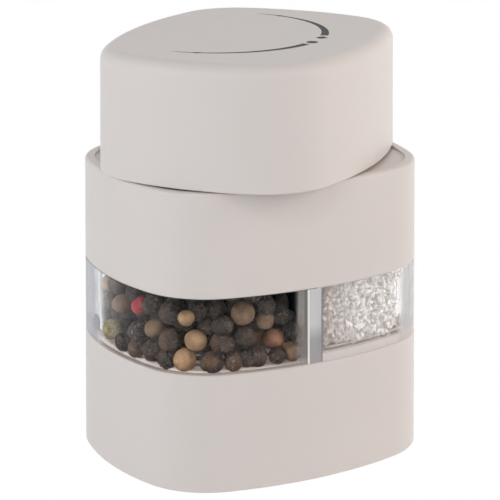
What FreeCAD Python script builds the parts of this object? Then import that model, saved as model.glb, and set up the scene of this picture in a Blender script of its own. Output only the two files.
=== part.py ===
import FreeCAD, Part
import math
import os
import re
import Sketcher
from FreeCAD import Rotation, Vector

# Twin mill: pepper on the left, salt on the right, one cap on top that turns the shaft between them.
# The origin is the middle of the foot, +Z is up, X runs along the long side and the row of grinders.

os.makedirs("parts", exist_ok=True)
doc = FreeCAD.newDocument("twin_mill")
sheet = doc.addObject("Spreadsheet::Sheet", "Dims")

SIZES = {
    # Outline at the foot: four bulged sides joined by round corners, each side leaning in by side_slope
    "body_length": 75.4,
    "body_width": 63.8,
    "long_side_radius": 85.8,
    "short_side_radius": 59.4,
    "corner_radius": 18.4,
    "side_slope": 0.016,
    # Casing
    "lower_shell_height": 27.8,
    "window_height": 17.7,
    "upper_shell_height": 23.9,
    "shell_wall": 2.2,
    "foot_round": 0.3,
    "seam_bevel": 0.2,
    "rim_width": 2.3,
    "rim_round": 0.7,
    "sleeve_wall": 1.4,
    "recess_depth": 0.5,
    "deck_thickness": 1.5,
    "filling_overlap": 2.5,
    "filling_web": 4.6,
    "slip_gap": 0.1,
    "running_gap": 0.05,
    "rest_gap": 0.1,
    # Cap
    "cap_gap": 0.3,
    "cap_height": 28.1,
    "cap_inset": 0.55,
    "cap_wall": 2.2,
    "cap_round": 3.0,
    "cap_rest_angle": 37.1,
    "cover_margin": 2.65,
    "cover_thickness": 2.4,
    "cover_gap": 0.3,
    "cover_rim": 3.0,
    "hub_radius": 5.0,
    "hub_height": 16.0,
    "spigot_radius": 4.5,
    "spigot_depth": 3.2,
    "guide_wall": 1.5,
    "guide_depth": 15.6,
    "cap_post_radius": 3.0,
    "cap_post_place": 13.4,
    "cap_screw_length": 9.0,
    "rib_thickness": 1.4,
    # Container
    "container_wall": 1.2,
    "floor_thickness": 2.0,
    "skirt_clearance": 1.3,
    "skirt_wall": 1.4,
    "divider_gap": 2.0,
    "divider_wall": 1.2,
    "gap_roof": 2.0,
    "tube_bore_radius": 3.4,
    "tube_wall": 1.2,
    "hopper_radius": 12.8,
    "hopper_outlet_radius": 8.3,
    "hopper_wall": 1.4,
    # Grinders
    "grinder_offset": 20.0,
    "gear_module": 1.0,
    "pinion_teeth": 16,
    "gear_teeth": 24,
    "pressure_angle": 20.0,
    "tooth_addendum": 0.95,
    "tooth_dedendum": 1.25,
    "tooth_play": 0.16,
    "tooth_overrun": 0.2,
    "gear_width": 4.2,
    "pinion_width": 4.6,
    "carrier_radius": 10.5,
    "carrier_wall": 1.0,
    "carrier_mouth_radius": 8.8,
    "carrier_mouth_depth": 3.7,
    "burr_height": 10.0,
    "ring_bore_radius": 8.0,
    "ring_throat_radius": 7.4,
    "ring_throat_height": 2.6,
    "ring_shoulder_height": 5.0,
    "ring_flare": 0.8,
    "ring_grooves": 16,
    "ring_groove_depth": 0.6,
    "cone_top_radius": 3.4,
    "burr_gap": 0.45,
    "cone_grooves": 12,
    "cone_groove_depth": 1.1,
    "cone_groove_spread": 11.0,
    "cone_twist": 35.0,
    "cone_pocket_depth": 4.0,
    # Ratchets
    "hub_wall": 1.6,
    "hub_flange_radius": 5.0,
    "hub_flange": 1.0,
    "ratchet_teeth": 12,
    "ratchet_radius": 5.8,
    "ratchet_depth": 0.7,
    "pinion_floor": 1.6,
    "pawl_thickness": 0.8,
    "pawl_height": 2.4,
    "pawl_play": 0.15,
    "pawl_hook_depth": 0.56,
    "pawl_tip_angle": 2.0,
    "pawl_hook_angle": 14.0,
    "pawl_neck_angle": 24.0,
    "pawl_bend_angle": 50.0,
    "pawl_heel_angle": 74.0,
    "pawl_root_angle": 84.0,
    # Shaft
    "shaft_side": 4.0,
    "shaft_top": 83.0,
    "shaft_foot": 1.8,
    "shaft_bevel": 0.5,
    "socket_clearance": 0.05,
    "clip_groove_depth": 0.5,
    "clip_thickness": 0.5,
    "clip_radius": 3.3,
    "clip_gap": 0.3,
    "clip_mouth": 2.4,
    # Base
    "cover_lift": 1.5,
    "cover_plate": 2.0,
    "lip_thickness": 1.5,
    "lip_width": 1.6,
    "outlet_radius": 9.0,
    "carrier_seat": 7.0,
    "cup_height": 10.2,
    "cup_wall": 1.4,
    "boss_radius": 4.8,
    "boss_height": 9.0,
    "clip_recess_radius": 3.8,
    "clip_recess_depth": 2.0,
    "spider_thickness": 2.4,
    "spider_boss_radius": 3.3,
    "spider_arm": 2.0,
    "spider_arms": 3,
    "plate_bottom": 21.5,
    "plate_thickness": 2.0,
    "pillar_radius": 3.2,
    "pillar_x": 24.0,
    "pillar_y": 19.0,
    "screw_radius": 1.25,
    "screw_hole_clearance": 0.3,
    "pilot_web": 1.3,
    "screw_head_radius": 2.3,
    "screw_head": 1.2,
    "head_recess": 1.3,
    "pillar_recess": 3.0,
    "head_clearance": 0.4,
    "drive_flats": 2.0,
    "drive_depth": 1.0,
    # Adjusters
    "stem_side": 3.0,
    "stem_head_radius": 2.7,
    "stem_head": 1.1,
    "stem_thread_radius": 1.4,
    "stem_foot": 1.7,
    "stem_shoulder": 5.2,
    "knob_radius": 5.4,
    "knob_height": 3.2,
    "knob_gap": 0.15,
    "knob_flutes": 10,
    "knob_flute_radius": 0.9,
    "spring_wire": 0.5,
    "spring_radius": 2.8,
    "spring_turns": 4.5,
    # Spices
    "fill_gap": 0.3,
    "fill_height": 24.0,
    "heap_foot": 3.5,
}

for row, (alias, number) in enumerate(SIZES.items(), start=1):
    sheet.set(f"A{row}", alias)
    sheet.set(f"B{row}", str(number))
    sheet.setAlias(f"B{row}", alias)
doc.recompute()

SIDES = {"pepper": -1, "salt": 1}


def dim(formula):
    """Write a formula over the sheet's names as an expression."""
    return re.sub(r"[a-z_]+", lambda word: f"Dims.{word[0]}" if word[0] in SIZES else word[0], formula)


def value(formula):
    """The number that a formula over the sheet's names has now."""
    result = sheet.evalExpression(dim(formula))
    return float(getattr(result, "Value", result))


# Heights above the foot and radii that several pieces share, as formulas
WINDOW_TOP = "lower_shell_height + window_height"
RIM = f"{WINDOW_TOP} + upper_shell_height"
DECK_TOP = f"{RIM} - recess_depth"
DECK_BOTTOM = f"{DECK_TOP} - deck_thickness"
CAP_BOTTOM = f"{RIM} + cap_gap"
COVER_BOTTOM = f"{DECK_TOP} + cover_gap"
CARRIER_FOOT = "( carrier_seat + rest_gap )"
PLATE_TOP = "( plate_bottom + plate_thickness )"
SKIRT_DEPTH = f"( lower_shell_height - {PLATE_TOP} - skirt_clearance )"
SCREW_ENGAGEMENT = f"( lower_shell_height + floor_thickness - pilot_web - {PLATE_TOP} )"
HUB_PITCH = "( hub_flange + pinion_width + 5 * rest_gap )"
CARRIER_HEIGHT = f"( {PLATE_TOP} - {CARRIER_FOOT} - 2 * rest_gap )"
BURR_FOOT = f"{CARRIER_FOOT} + {CARRIER_HEIGHT} - carrier_mouth_depth - burr_height"
CLIP_FOOT = "( cover_lift + clip_recess_depth - clip_gap - clip_thickness )"
HUB_RADIUS = "( shaft_side / 2 + hub_wall )"
COVER_RADIUS = "( body_width / 2 - cap_inset - cap_wall - cover_margin )"
FILLING_RADIUS = f"( {COVER_RADIUS} - filling_overlap )"

# Insets from the foot's outline
SHELL_INSET = "side_slope * lower_shell_height + shell_wall"
SLEEVE_INSET = f"side_slope * ( {RIM} ) + sleeve_wall"
CHAMBER_INSET = f"{SLEEVE_INSET} + slip_gap + container_wall"
CAP_CAVITY_INSET = f"side_slope * ( {CAP_BOTTOM} + cap_height ) + cap_inset + cap_wall"
HALF_DIVIDER = "divider_gap / 2 + divider_wall"
LEAN = "-1 * atan(side_slope)"


def new_body(label, height="0", x="0", turned=False):
    """A body with its own origin at a height, moved along X or turned with the cap."""
    body = doc.addObject("PartDesign::Body", label)
    body.Label = label
    body.AllowCompound = True
    body.setExpression("Placement.Base.z", dim(height))
    body.setExpression("Placement.Base.x", dim(x))
    if turned:
        body.Placement.Rotation = Rotation(Vector(0, 0, 1), 1)
        body.setExpression("Placement.Rotation.Angle", dim("cap_rest_angle"))
    return body


def new_sketch(body, height="0", role="XY_Plane", x="0"):
    """A sketch on one of the body's own planes, lifted by the height."""
    sketch = body.newObject("Sketcher::SketchObject", body.Label + "_sketch")
    origin_plane = next(item for item in body.Origin.OriginFeatures if item.Role == role)
    sketch.AttachmentSupport = (origin_plane, [""])
    sketch.MapMode = "FlatFace"
    if height != "0":
        sketch.setExpression("AttachmentOffset.Base.z", dim(height))
    if x != "0":
        sketch.setExpression("AttachmentOffset.Base.x", dim(x))
    return sketch


def bind(sketch, kind, places, formula):
    """Add a driving constraint and bind it to a formula."""
    index = sketch.addConstraint(Sketcher.Constraint(kind, *places, value(formula)))
    sketch.setExpression(f"Constraints[{index}]", dim(formula))


def pin_point(sketch, geometry, point, x, y):
    bind(sketch, "DistanceX", (-1, 1, geometry, point), x)
    bind(sketch, "DistanceY", (-1, 1, geometry, point), y)


def circle(sketch, radius, x="0", y="0"):
    centre = Vector(value(x), value(y), 0)
    index = sketch.addGeometry(Part.Circle(centre, Vector(0, 0, 1), value(radius)), False)
    bind(sketch, "Radius", (index,), radius)
    if x == "0" and y == "0":
        sketch.addConstraint(Sketcher.Constraint("Coincident", index, 3, -1, 1))
    else:
        pin_point(sketch, index, 3, x, y)
    return index


def polygon(sketch, corners):
    """Closed polygon whose corners are pinned by pairs of formulas."""
    points = [Vector(value(x), value(y), 0) for x, y in corners]
    first = None
    for number, point in enumerate(points):
        line = sketch.addGeometry(Part.LineSegment(point, points[(number + 1) % len(points)]), False)
        first = line if first is None else first
        if line > first:
            sketch.addConstraint(Sketcher.Constraint("Coincident", line - 1, 2, line, 1))
    sketch.addConstraint(Sketcher.Constraint("Coincident", line, 2, first, 1))
    for number, (x, y) in enumerate(corners):
        pin_point(sketch, first + number, 1, x, y)


def rectangle(sketch, half_x, half_y, x="0", y="0"):
    """Rectangle given by its half sizes, about a centre."""
    left = f"{x} - ( {half_x} )"
    right = f"{x} + ( {half_x} )"
    low = f"{y} - ( {half_y} )"
    high = f"{y} + ( {half_y} )"
    polygon(sketch, [(left, low), (right, low), (right, high), (left, high)])


def arc(sketch, centre, radius, start, end):
    """Counterclockwise arc between two angles in radians."""
    full = Part.Circle(Vector(centre[0], centre[1], 0), Vector(0, 0, 1), radius)
    return sketch.addGeometry(Part.ArcOfCircle(full, start, end), False)


class Bulge:
    """The outline's arcs as they are now: centres of the sides and of a corner, and where they meet."""

    def __init__(self, inset):
        self.long_centre = value("body_width / 2 - long_side_radius")
        self.short_centre = value("body_length / 2 - short_side_radius")
        self.long_radius = value("long_side_radius") - inset
        self.short_radius = value("short_side_radius") - inset
        self.corner_radius = value("corner_radius") - inset
        reach_long = self.long_radius - self.corner_radius
        reach_short = self.short_radius - self.corner_radius
        span = math.hypot(self.long_centre, self.short_centre)
        along = (span**2 + reach_long**2 - reach_short**2) / (2 * span)
        aside = math.sqrt(reach_long**2 - along**2)
        toward = (self.short_centre / span, -self.long_centre / span)
        self.corner = (
            toward[0] * along - toward[1] * aside,
            self.long_centre + toward[1] * along + toward[0] * aside,
        )
        if self.corner[0] < 0:
            self.corner = (
                toward[0] * along + toward[1] * aside,
                self.long_centre + toward[1] * along - toward[0] * aside,
            )
        self.short_end = math.atan2(self.corner[1], self.corner[0] - self.short_centre)
        self.long_start = math.atan2(self.corner[1] - self.long_centre, self.corner[0])


def side_arc(sketch, centre, radius, start, end, inset, name, axis, sign):
    """One bulged side: its centre stays where it is and its radius shrinks by the inset."""
    index = arc(sketch, centre, radius, start, end)
    extent = {"long_side_radius": "body_width", "short_side_radius": "body_length"}[name]
    offset = f"{sign} * ( {extent} / 2 - {name} )"
    pin_point(sketch, index, 3, offset if axis == "x" else "0", offset if axis == "y" else "0")
    bind(sketch, "Radius", (index,), f"{name} - ( {inset} )")
    return index


def corner_arc(sketch, centre, radius, start, end, inset):
    """One round corner, which keeps its centre as the outline moves in."""
    index = arc(sketch, centre, radius, start, end)
    bind(sketch, "Radius", (index,), f"corner_radius - ( {inset} )")
    return index


def bulged_outline(sketch, inset="0"):
    """The whole outline, moved in by the inset: four side arcs and four corner arcs, tangent all round."""
    b = Bulge(value(inset))
    long_high = (0, b.long_centre)
    long_low = (0, -b.long_centre)
    right = (b.short_centre, 0)
    left = (-b.short_centre, 0)
    cx, cy = b.corner
    s, t, pi = b.short_end, b.long_start, math.pi
    arcs = [
        side_arc(sketch, right, b.short_radius, -s, s, inset, "short_side_radius", "x", "1"),
        corner_arc(sketch, (cx, cy), b.corner_radius, s, t, inset),
        side_arc(sketch, long_high, b.long_radius, t, pi - t, inset, "long_side_radius", "y", "1"),
        corner_arc(sketch, (-cx, cy), b.corner_radius, pi - t, pi - s, inset),
        side_arc(sketch, left, b.short_radius, pi - s, pi + s, inset, "short_side_radius", "x", "-1"),
        corner_arc(sketch, (-cx, -cy), b.corner_radius, pi + s, pi + t, inset),
        side_arc(sketch, long_low, b.long_radius, pi + t, -t, inset, "long_side_radius", "y", "-1"),
        corner_arc(sketch, (cx, -cy), b.corner_radius, -t, -s, inset),
    ]
    for number, index in enumerate(arcs):
        following = arcs[(number + 1) % len(arcs)]
        sketch.addConstraint(Sketcher.Constraint("Tangent", index, 2, following, 1))


def chamber_outline(sketch, inset, edge):
    """The half of the outline to the right of x = edge, moved in by the inset."""
    b = Bulge(value(inset))
    x = value(edge)
    cut = math.acos(x / b.long_radius)
    high = b.long_centre + b.long_radius * math.sin(cut)
    cx, cy = b.corner
    s, t = b.short_end, b.long_start
    short = side_arc(
        sketch, (b.short_centre, 0), b.short_radius, -s, s, inset, "short_side_radius", "x", "1"
    )
    upper = corner_arc(sketch, (cx, cy), b.corner_radius, s, t, inset)
    back = side_arc(
        sketch, (0, b.long_centre), b.long_radius, t, cut, inset, "long_side_radius", "y", "1"
    )
    wall = sketch.addGeometry(Part.LineSegment(Vector(x, high, 0), Vector(x, -high, 0)), False)
    front = side_arc(
        sketch, (0, -b.long_centre), b.long_radius, -cut, -t, inset, "long_side_radius", "y", "-1"
    )
    lower = corner_arc(sketch, (cx, -cy), b.corner_radius, -t, -s, inset)
    for one, other in ((short, upper), (upper, back), (front, lower), (lower, short)):
        sketch.addConstraint(Sketcher.Constraint("Tangent", one, 2, other, 1))
    sketch.addConstraint(Sketcher.Constraint("Coincident", back, 2, wall, 1))
    sketch.addConstraint(Sketcher.Constraint("Coincident", wall, 2, front, 1))
    sketch.addConstraint(Sketcher.Constraint("Vertical", wall))
    bind(sketch, "DistanceX", (-1, 1, wall, 1), edge)


def pad(body, sketch, length, lean=None, down=False):
    """Add upwards from the sketch, or downwards."""
    feature = body.newObject("PartDesign::Pad", body.Label + "_pad")
    feature.Profile = sketch
    feature.Reversed = down
    feature.setExpression("Length", dim(length))
    if lean:
        feature.setExpression("TaperAngle", dim(lean))
    doc.recompute()
    return feature


def pocket(body, sketch, depth, lean=None, down=False):
    """Cut upwards from the sketch, or downwards; the cut must take material away."""
    before = body.Shape.Volume
    feature = body.newObject("PartDesign::Pocket", body.Label + "_pocket")
    feature.Profile = sketch
    feature.Reversed = not down
    feature.setExpression("Length", dim(depth))
    if lean:
        feature.setExpression("TaperAngle", dim(lean))
    doc.recompute()
    if body.Shape.Volume > before - 1e-6:
        raise RuntimeError(f"{feature.Name} cuts nothing")
    return feature


def revolve(body, sketch, kind="Revolution"):
    """Turn the profile once about the upright axis, to add or to cut."""
    feature = body.newObject(f"PartDesign::{kind}", f"{body.Label}_{kind.lower()}")
    feature.Profile = sketch
    feature.ReferenceAxis = (sketch, ["V_Axis"])
    feature.Angle = 360
    doc.recompute()
    return feature


def repeat_round(body, features, count, axis=None):
    """Copies turned about the body's Z axis, or about another axis."""
    pattern = body.newObject("PartDesign::PolarPattern", body.Label + "_pattern")
    pattern.Originals = features
    upright = next(item for item in body.Origin.OriginFeatures if item.Role == "Z_Axis")
    pattern.Axis = axis or (upright, [""])
    pattern.Angle = 360
    pattern.setExpression("Occurrences", dim(count))
    body.Tip = pattern
    doc.recompute()
    return pattern


def edges_at(body, height, outer=True):
    """Names of the edges that lie at one height of the body's last feature: the outermost loop, or all."""
    level = value(height)
    found = []
    for number, edge in enumerate(body.Tip.Shape.Edges, start=1):
        box = edge.BoundBox
        if abs(box.ZMin - level) < 1e-4 and abs(box.ZMax - level) < 1e-4:
            found.append((number, edge))
    if outer:
        wires = Part.sortEdges([edge for _, edge in found])
        widest = max(wires, key=lambda loop: Part.Wire(loop).BoundBox.XLength)
        kept = [edge.hashCode() for edge in widest]
        middles = [edge.valueAt((edge.FirstParameter + edge.LastParameter) / 2) for edge in widest]
        found = [
            (number, edge)
            for number, edge in found
            if edge.hashCode() in kept
            or min(
                edge.valueAt((edge.FirstParameter + edge.LastParameter) / 2).distanceToPoint(middle)
                for middle in middles
            )
            < 1e-5
        ]
    return [f"Edge{number}" for number, _ in found]


def dress(body, kind, size, edges):
    """Round or bevel the named edges of the body's last feature."""
    feature = body.newObject(f"PartDesign::{kind}", f"{body.Label}_{kind.lower()}")
    feature.Base = (feature.BaseFeature, edges)
    feature.setExpression("Radius" if kind == "Fillet" else "Size", dim(size))
    doc.recompute()
    return feature


def pillar_places():
    return [(f"{i} * pillar_x", f"{j} * pillar_y") for i in (-1, 1) for j in (-1, 1)]


def make_lower_shell():
    body = new_body("lower_shell")
    outline = new_sketch(body)
    bulged_outline(outline)
    pad(body, outline, "lower_shell_height", LEAN)
    dress(body, "Fillet", "foot_round", edges_at(body, "0"))
    dress(body, "Chamfer", "seam_bevel", edges_at(body, "lower_shell_height"))
    lip = new_sketch(body)
    bulged_outline(lip, f"{SHELL_INSET} + lip_width")
    pocket(body, lip, "lower_shell_height")
    recess = new_sketch(body)
    bulged_outline(recess, SHELL_INSET)
    pocket(body, recess, "cover_lift + cover_plate")
    room = new_sketch(body, "cover_lift + cover_plate + lip_thickness")
    bulged_outline(room, SHELL_INSET)
    pocket(body, room, "lower_shell_height")


def hopper_cone(body, kind, side, wall):
    """Funnel from the chamber floor down to just above the gear plate."""
    depth = f"( lower_shell_height - {PLATE_TOP} - 2 * rest_gap )"
    cone = body.newObject(f"PartDesign::{kind}", body.Label + "_hopper")
    cone.setExpression("Radius1", dim(f"hopper_outlet_radius + {wall}"))
    cone.setExpression("Radius2", dim(f"hopper_radius + {wall}"))
    cone.setExpression("Height", dim(f"{depth} + floor_thickness"))
    cone.setExpression("Placement.Base.x", dim(f"{side} * grinder_offset"))
    cone.setExpression("Placement.Base.z", dim(f"0 - {depth}"))
    doc.recompute()


def make_container():
    body = new_body("spice_container", "lower_shell_height")
    window = new_sketch(body)
    bulged_outline(window, "side_slope * lower_shell_height")
    pad(body, window, "window_height", LEAN)
    dress(body, "Chamfer", "seam_bevel", edges_at(body, "0") + edges_at(body, "window_height"))
    sleeve = new_sketch(body, "window_height")
    bulged_outline(sleeve, f"{SLEEVE_INSET} + slip_gap")
    sleeve_height = "upper_shell_height - recess_depth - deck_thickness - rest_gap"
    pad(body, sleeve, sleeve_height)
    skirt = new_sketch(body)
    bulged_outline(skirt, f"{SHELL_INSET} + slip_gap")
    pad(body, skirt, SKIRT_DEPTH, down=True)
    under = new_sketch(body)
    bulged_outline(under, f"{SHELL_INSET} + slip_gap + skirt_wall")
    pocket(body, under, SKIRT_DEPTH, down=True)
    full_height = f"window_height + {sleeve_height}"
    chamber = new_sketch(body, "floor_thickness")
    chamber_outline(chamber, CHAMBER_INSET, HALF_DIVIDER)
    cut = pocket(body, chamber, full_height)
    repeat_round(body, [cut], "2")
    for side in SIDES.values():
        hopper_cone(body, "AdditiveCone", side, "hopper_wall")
    bosses = new_sketch(body)
    for x, y in pillar_places():
        circle(bosses, "pillar_radius", x, y)
    pad(body, bosses, f"lower_shell_height - ( {PLATE_TOP} ) - rest_gap", down=True)
    pilots = new_sketch(body, f"{PLATE_TOP} - lower_shell_height")
    for x, y in pillar_places():
        circle(pilots, "screw_radius + running_gap", x, y)
    pocket(body, pilots, SCREW_ENGAGEMENT)
    for side in SIDES.values():
        hopper_cone(body, "SubtractiveCone", side, "0")
    tube = new_sketch(body)
    circle(tube, "tube_bore_radius + tube_wall")
    pad(body, tube, f"{full_height} - gap_roof")
    gap = new_sketch(body)
    rectangle(gap, "divider_gap / 2", f"body_width / 2 - ( {CHAMBER_INSET} )")
    pocket(body, gap, f"{full_height} - gap_roof")
    bore = new_sketch(body)
    circle(bore, "tube_bore_radius")
    pocket(body, bore, full_height)
    mouth = new_sketch(body, f"{full_height} - spigot_depth")
    circle(mouth, "spigot_radius + 3 * rest_gap")
    pocket(body, mouth, full_height)


def make_upper_shell():
    body = new_body("upper_shell", WINDOW_TOP)
    outline = new_sketch(body)
    bulged_outline(outline, f"side_slope * ( {WINDOW_TOP} )")
    pad(body, outline, "upper_shell_height", LEAN)
    dress(body, "Fillet", "rim_round", edges_at(body, "upper_shell_height"))
    dress(body, "Chamfer", "seam_bevel", edges_at(body, "0"))
    room = new_sketch(body)
    bulged_outline(room, SLEEVE_INSET)
    pocket(body, room, "upper_shell_height - recess_depth - deck_thickness")
    recess = new_sketch(body, "upper_shell_height - recess_depth")
    bulged_outline(recess, f"side_slope * ( {RIM} ) + rim_width")
    pocket(body, recess, "recess_depth * 2")
    filling = new_sketch(body, "upper_shell_height - recess_depth - deck_thickness")
    filling_half(filling)
    cut = pocket(body, filling, "deck_thickness * 2")
    repeat_round(body, [cut], "2")
    bore = new_sketch(body, "upper_shell_height - recess_depth - deck_thickness")
    circle(bore, "spigot_radius + running_gap")
    pocket(body, bore, "deck_thickness * 2")


def filling_half(sketch):
    """Opening over one chamber: a round segment beside the deck's middle web."""
    radius = value(FILLING_RADIUS)
    edge = value("filling_web")
    reach = math.acos(edge / radius)
    bow = arc(sketch, (0, 0), radius, -reach, reach)
    high = math.sqrt(radius**2 - edge**2)
    wall = sketch.addGeometry(Part.LineSegment(Vector(edge, high, 0), Vector(edge, -high, 0)), False)
    sketch.addConstraint(Sketcher.Constraint("Coincident", bow, 3, -1, 1))
    sketch.addConstraint(Sketcher.Constraint("Coincident", bow, 2, wall, 1))
    sketch.addConstraint(Sketcher.Constraint("Coincident", wall, 2, bow, 1))
    sketch.addConstraint(Sketcher.Constraint("Vertical", wall))
    bind(sketch, "Radius", (bow,), FILLING_RADIUS)
    bind(sketch, "DistanceX", (-1, 1, wall, 1), "filling_web")


def make_gear_plate():
    body = new_body("gear_plate", "plate_bottom")
    outline = new_sketch(body)
    bulged_outline(outline, f"{SHELL_INSET} + slip_gap")
    pad(body, outline, "plate_thickness")
    holes = new_sketch(body)
    for side in SIDES.values():
        circle(holes, "carrier_radius + running_gap", f"{side} * grinder_offset")
    circle(holes, "tube_bore_radius")
    for x, y in pillar_places():
        circle(holes, "screw_radius + screw_hole_clearance", x, y)
    pocket(body, holes, "plate_thickness")


def make_base_cover():
    body = new_body("base_cover", "cover_lift")
    outline = new_sketch(body)
    bulged_outline(outline, f"{SHELL_INSET} + slip_gap")
    pad(body, outline, "cover_plate")
    cups = new_sketch(body)
    for side in SIDES.values():
        circle(cups, "carrier_radius + running_gap + cup_wall", f"{side} * grinder_offset")
    pad(body, cups, "cup_height - cover_lift")
    boss = new_sketch(body)
    circle(boss, "boss_radius")
    pad(body, boss, "boss_height - cover_lift")
    pillars = new_sketch(body)
    for x, y in pillar_places():
        circle(pillars, "pillar_radius", x, y)
    pad(body, pillars, "plate_bottom - cover_lift")
    outlets = new_sketch(body)
    for side in SIDES.values():
        circle(outlets, "outlet_radius", f"{side} * grinder_offset")
    pocket(body, outlets, "cup_height")
    seats = new_sketch(body, "carrier_seat - cover_lift")
    for side in SIDES.values():
        circle(seats, "carrier_radius + running_gap", f"{side} * grinder_offset")
    pocket(body, seats, "cup_height")
    spider_foot = "carrier_seat - cover_lift - spider_thickness"
    for side in SIDES.values():
        centre = f"{side} * grinder_offset"
        middle = new_sketch(body, spider_foot)
        circle(middle, "spider_boss_radius", centre)
        pad(body, middle, "spider_thickness")
        arm = new_sketch(body, spider_foot, x=centre)
        length = "( outlet_radius + running_gap )"
        rectangle(arm, f"{length} / 2", "spider_arm / 2", f"{length} / 2")
        first = pad(body, arm, "spider_thickness")
        repeat_round(body, [first], "spider_arms", (arm, ["N_Axis"]))
    keyways = new_sketch(body)
    for side in SIDES.values():
        half = "stem_side / 2 + socket_clearance"
        rectangle(keyways, half, half, f"{side} * grinder_offset")
    pocket(body, keyways, "cup_height")
    bore = new_sketch(body)
    circle(bore, "shaft_side / 2 + running_gap")
    pocket(body, bore, "boss_height")
    recess = new_sketch(body)
    circle(recess, "clip_recess_radius")
    pocket(body, recess, "clip_recess_depth")
    holes = new_sketch(body)
    for x, y in pillar_places():
        circle(holes, "screw_radius + screw_hole_clearance", x, y)
    pocket(body, holes, "plate_bottom")
    recesses = new_sketch(body)
    for x, y in pillar_places():
        circle(recesses, "screw_head_radius + head_clearance", x, y)
    pocket(body, recesses, "pillar_recess")


def make_screws(label, height, places, length, turned=False):
    """A group of like screws, heads down, seated at the height."""
    body = new_body(label, height, turned=turned)
    shanks = new_sketch(body)
    heads = new_sketch(body)
    drives = new_sketch(body, "0 - screw_head")
    for x, y in places:
        circle(shanks, "screw_radius", x, y)
        circle(heads, "screw_head_radius", x, y)
        hexagon(drives, "drive_flats", x, y)
    pad(body, shanks, length)
    pad(body, heads, "screw_head", down=True)
    pocket(body, drives, "drive_depth")


def hexagon(sketch, flats, x, y):
    corner = f"{flats} / 2 / cos(30)"
    turns = [60 * k for k in range(6)]
    polygon(sketch, [
        (f"{x} + {corner} * cos({turn})", f"{y} + {corner} * sin({turn})") for turn in turns
    ])


def cap_post_places():
    return [(f"{i} * cap_post_place", f"{j} * cap_post_place") for i in (-1, 1) for j in (-1, 1)]


def make_cap_shell():
    body = new_body("cap_shell", CAP_BOTTOM, turned=True)
    outline = new_sketch(body)
    bulged_outline(outline, f"side_slope * ( {CAP_BOTTOM} ) + cap_inset")
    pad(body, outline, "cap_height", LEAN)
    dress(body, "Fillet", "cap_round", edges_at(body, "cap_height"))
    dress(body, "Chamfer", "seam_bevel", edges_at(body, "0"))
    cavity = new_sketch(body)
    bulged_outline(cavity, CAP_CAVITY_INSET)
    pocket(body, cavity, "cap_height - cap_wall")
    cover_top = f"{COVER_BOTTOM} + cover_thickness - ( {CAP_BOTTOM} )"
    posts = new_sketch(body, cover_top)
    for x, y in cap_post_places():
        circle(posts, "cap_post_radius", x, y)
    pad(body, posts, f"cap_height - cap_wall / 2 - ( {cover_top} )")
    guide_foot = "cap_height - cap_wall - guide_depth"
    guide = new_sketch(body, guide_foot)
    circle(guide, "hub_radius + slip_gap + guide_wall")
    pad(body, guide, "guide_depth + cap_wall / 2")
    bore = new_sketch(body, guide_foot)
    circle(bore, "hub_radius + slip_gap")
    pocket(body, bore, "guide_depth")
    pilots = new_sketch(body, cover_top)
    for x, y in cap_post_places():
        circle(pilots, "screw_radius + running_gap", x, y)
    pocket(body, pilots, "cap_screw_length")


def make_cap_insert():
    body = new_body("cap_insert", COVER_BOTTOM, turned=True)
    disc = new_sketch(body)
    circle(disc, COVER_RADIUS)
    pad(body, disc, "cover_thickness")
    rim = new_sketch(body, "cover_thickness")
    circle(rim, COVER_RADIUS)
    circle(rim, f"{COVER_RADIUS} - rib_thickness")
    pad(body, rim, "cover_rim")
    half_ribs = f"{COVER_RADIUS} - rib_thickness / 2"
    for half_x, half_y in ((half_ribs, "rib_thickness / 2"), ("rib_thickness / 2", half_ribs)):
        rib = new_sketch(body, "cover_thickness")
        rectangle(rib, half_x, half_y)
        pad(body, rib, "cover_rim")
    hub = new_sketch(body)
    circle(hub, "hub_radius")
    pad(body, hub, "hub_height")
    spigot = new_sketch(body)
    circle(spigot, "spigot_radius")
    pad(body, spigot, "spigot_depth", down=True)
    socket = new_sketch(body, "0 - spigot_depth")
    half = "shaft_side / 2 + socket_clearance"
    rectangle(socket, half, half)
    pocket(body, socket, f"spigot_depth + shaft_top - ( {COVER_BOTTOM} ) + rest_gap")
    holes = new_sketch(body)
    for x, y in cap_post_places():
        circle(holes, "screw_radius + screw_hole_clearance", x, y)
    pocket(body, holes, "cover_thickness")
    recesses = new_sketch(body)
    for x, y in cap_post_places():
        circle(recesses, "screw_head_radius + head_clearance", x, y)
    pocket(body, recesses, "head_recess")


def make_drive_shaft():
    body = new_body("drive_shaft", "boss_height", turned=True)
    square = new_sketch(body)
    rectangle(square, "shaft_side / 2", "shaft_side / 2")
    pad(body, square, "shaft_top - boss_height")
    dress(body, "Chamfer", "shaft_bevel", edges_at(body, "shaft_top - boss_height"))
    journal = new_sketch(body)
    circle(journal, "shaft_side / 2")
    pad(body, journal, "boss_height - shaft_foot", down=True)
    groove = new_sketch(body, role="XZ_Plane")
    low = f"{CLIP_FOOT} - boss_height - running_gap"
    high = f"{CLIP_FOOT} - boss_height + clip_thickness + running_gap"
    inner = "shaft_side / 2 - clip_groove_depth"
    polygon(groove, [(inner, low), ("shaft_side", low), ("shaft_side", high), (inner, high)])
    revolve(body, groove, "Groove")


def make_shaft_clip():
    body = new_body("shaft_clip", CLIP_FOOT, turned=True)
    ring = new_sketch(body)
    circle(ring, "clip_radius")
    circle(ring, "shaft_side / 2 - clip_groove_depth + running_gap")
    pad(body, ring, "clip_thickness")
    mouth = new_sketch(body)
    half_reach = "( clip_radius / 2 )"
    rectangle(mouth, half_reach, "clip_mouth / 2", f"{half_reach} + running_gap")
    pocket(body, mouth, "clip_thickness")


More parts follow.
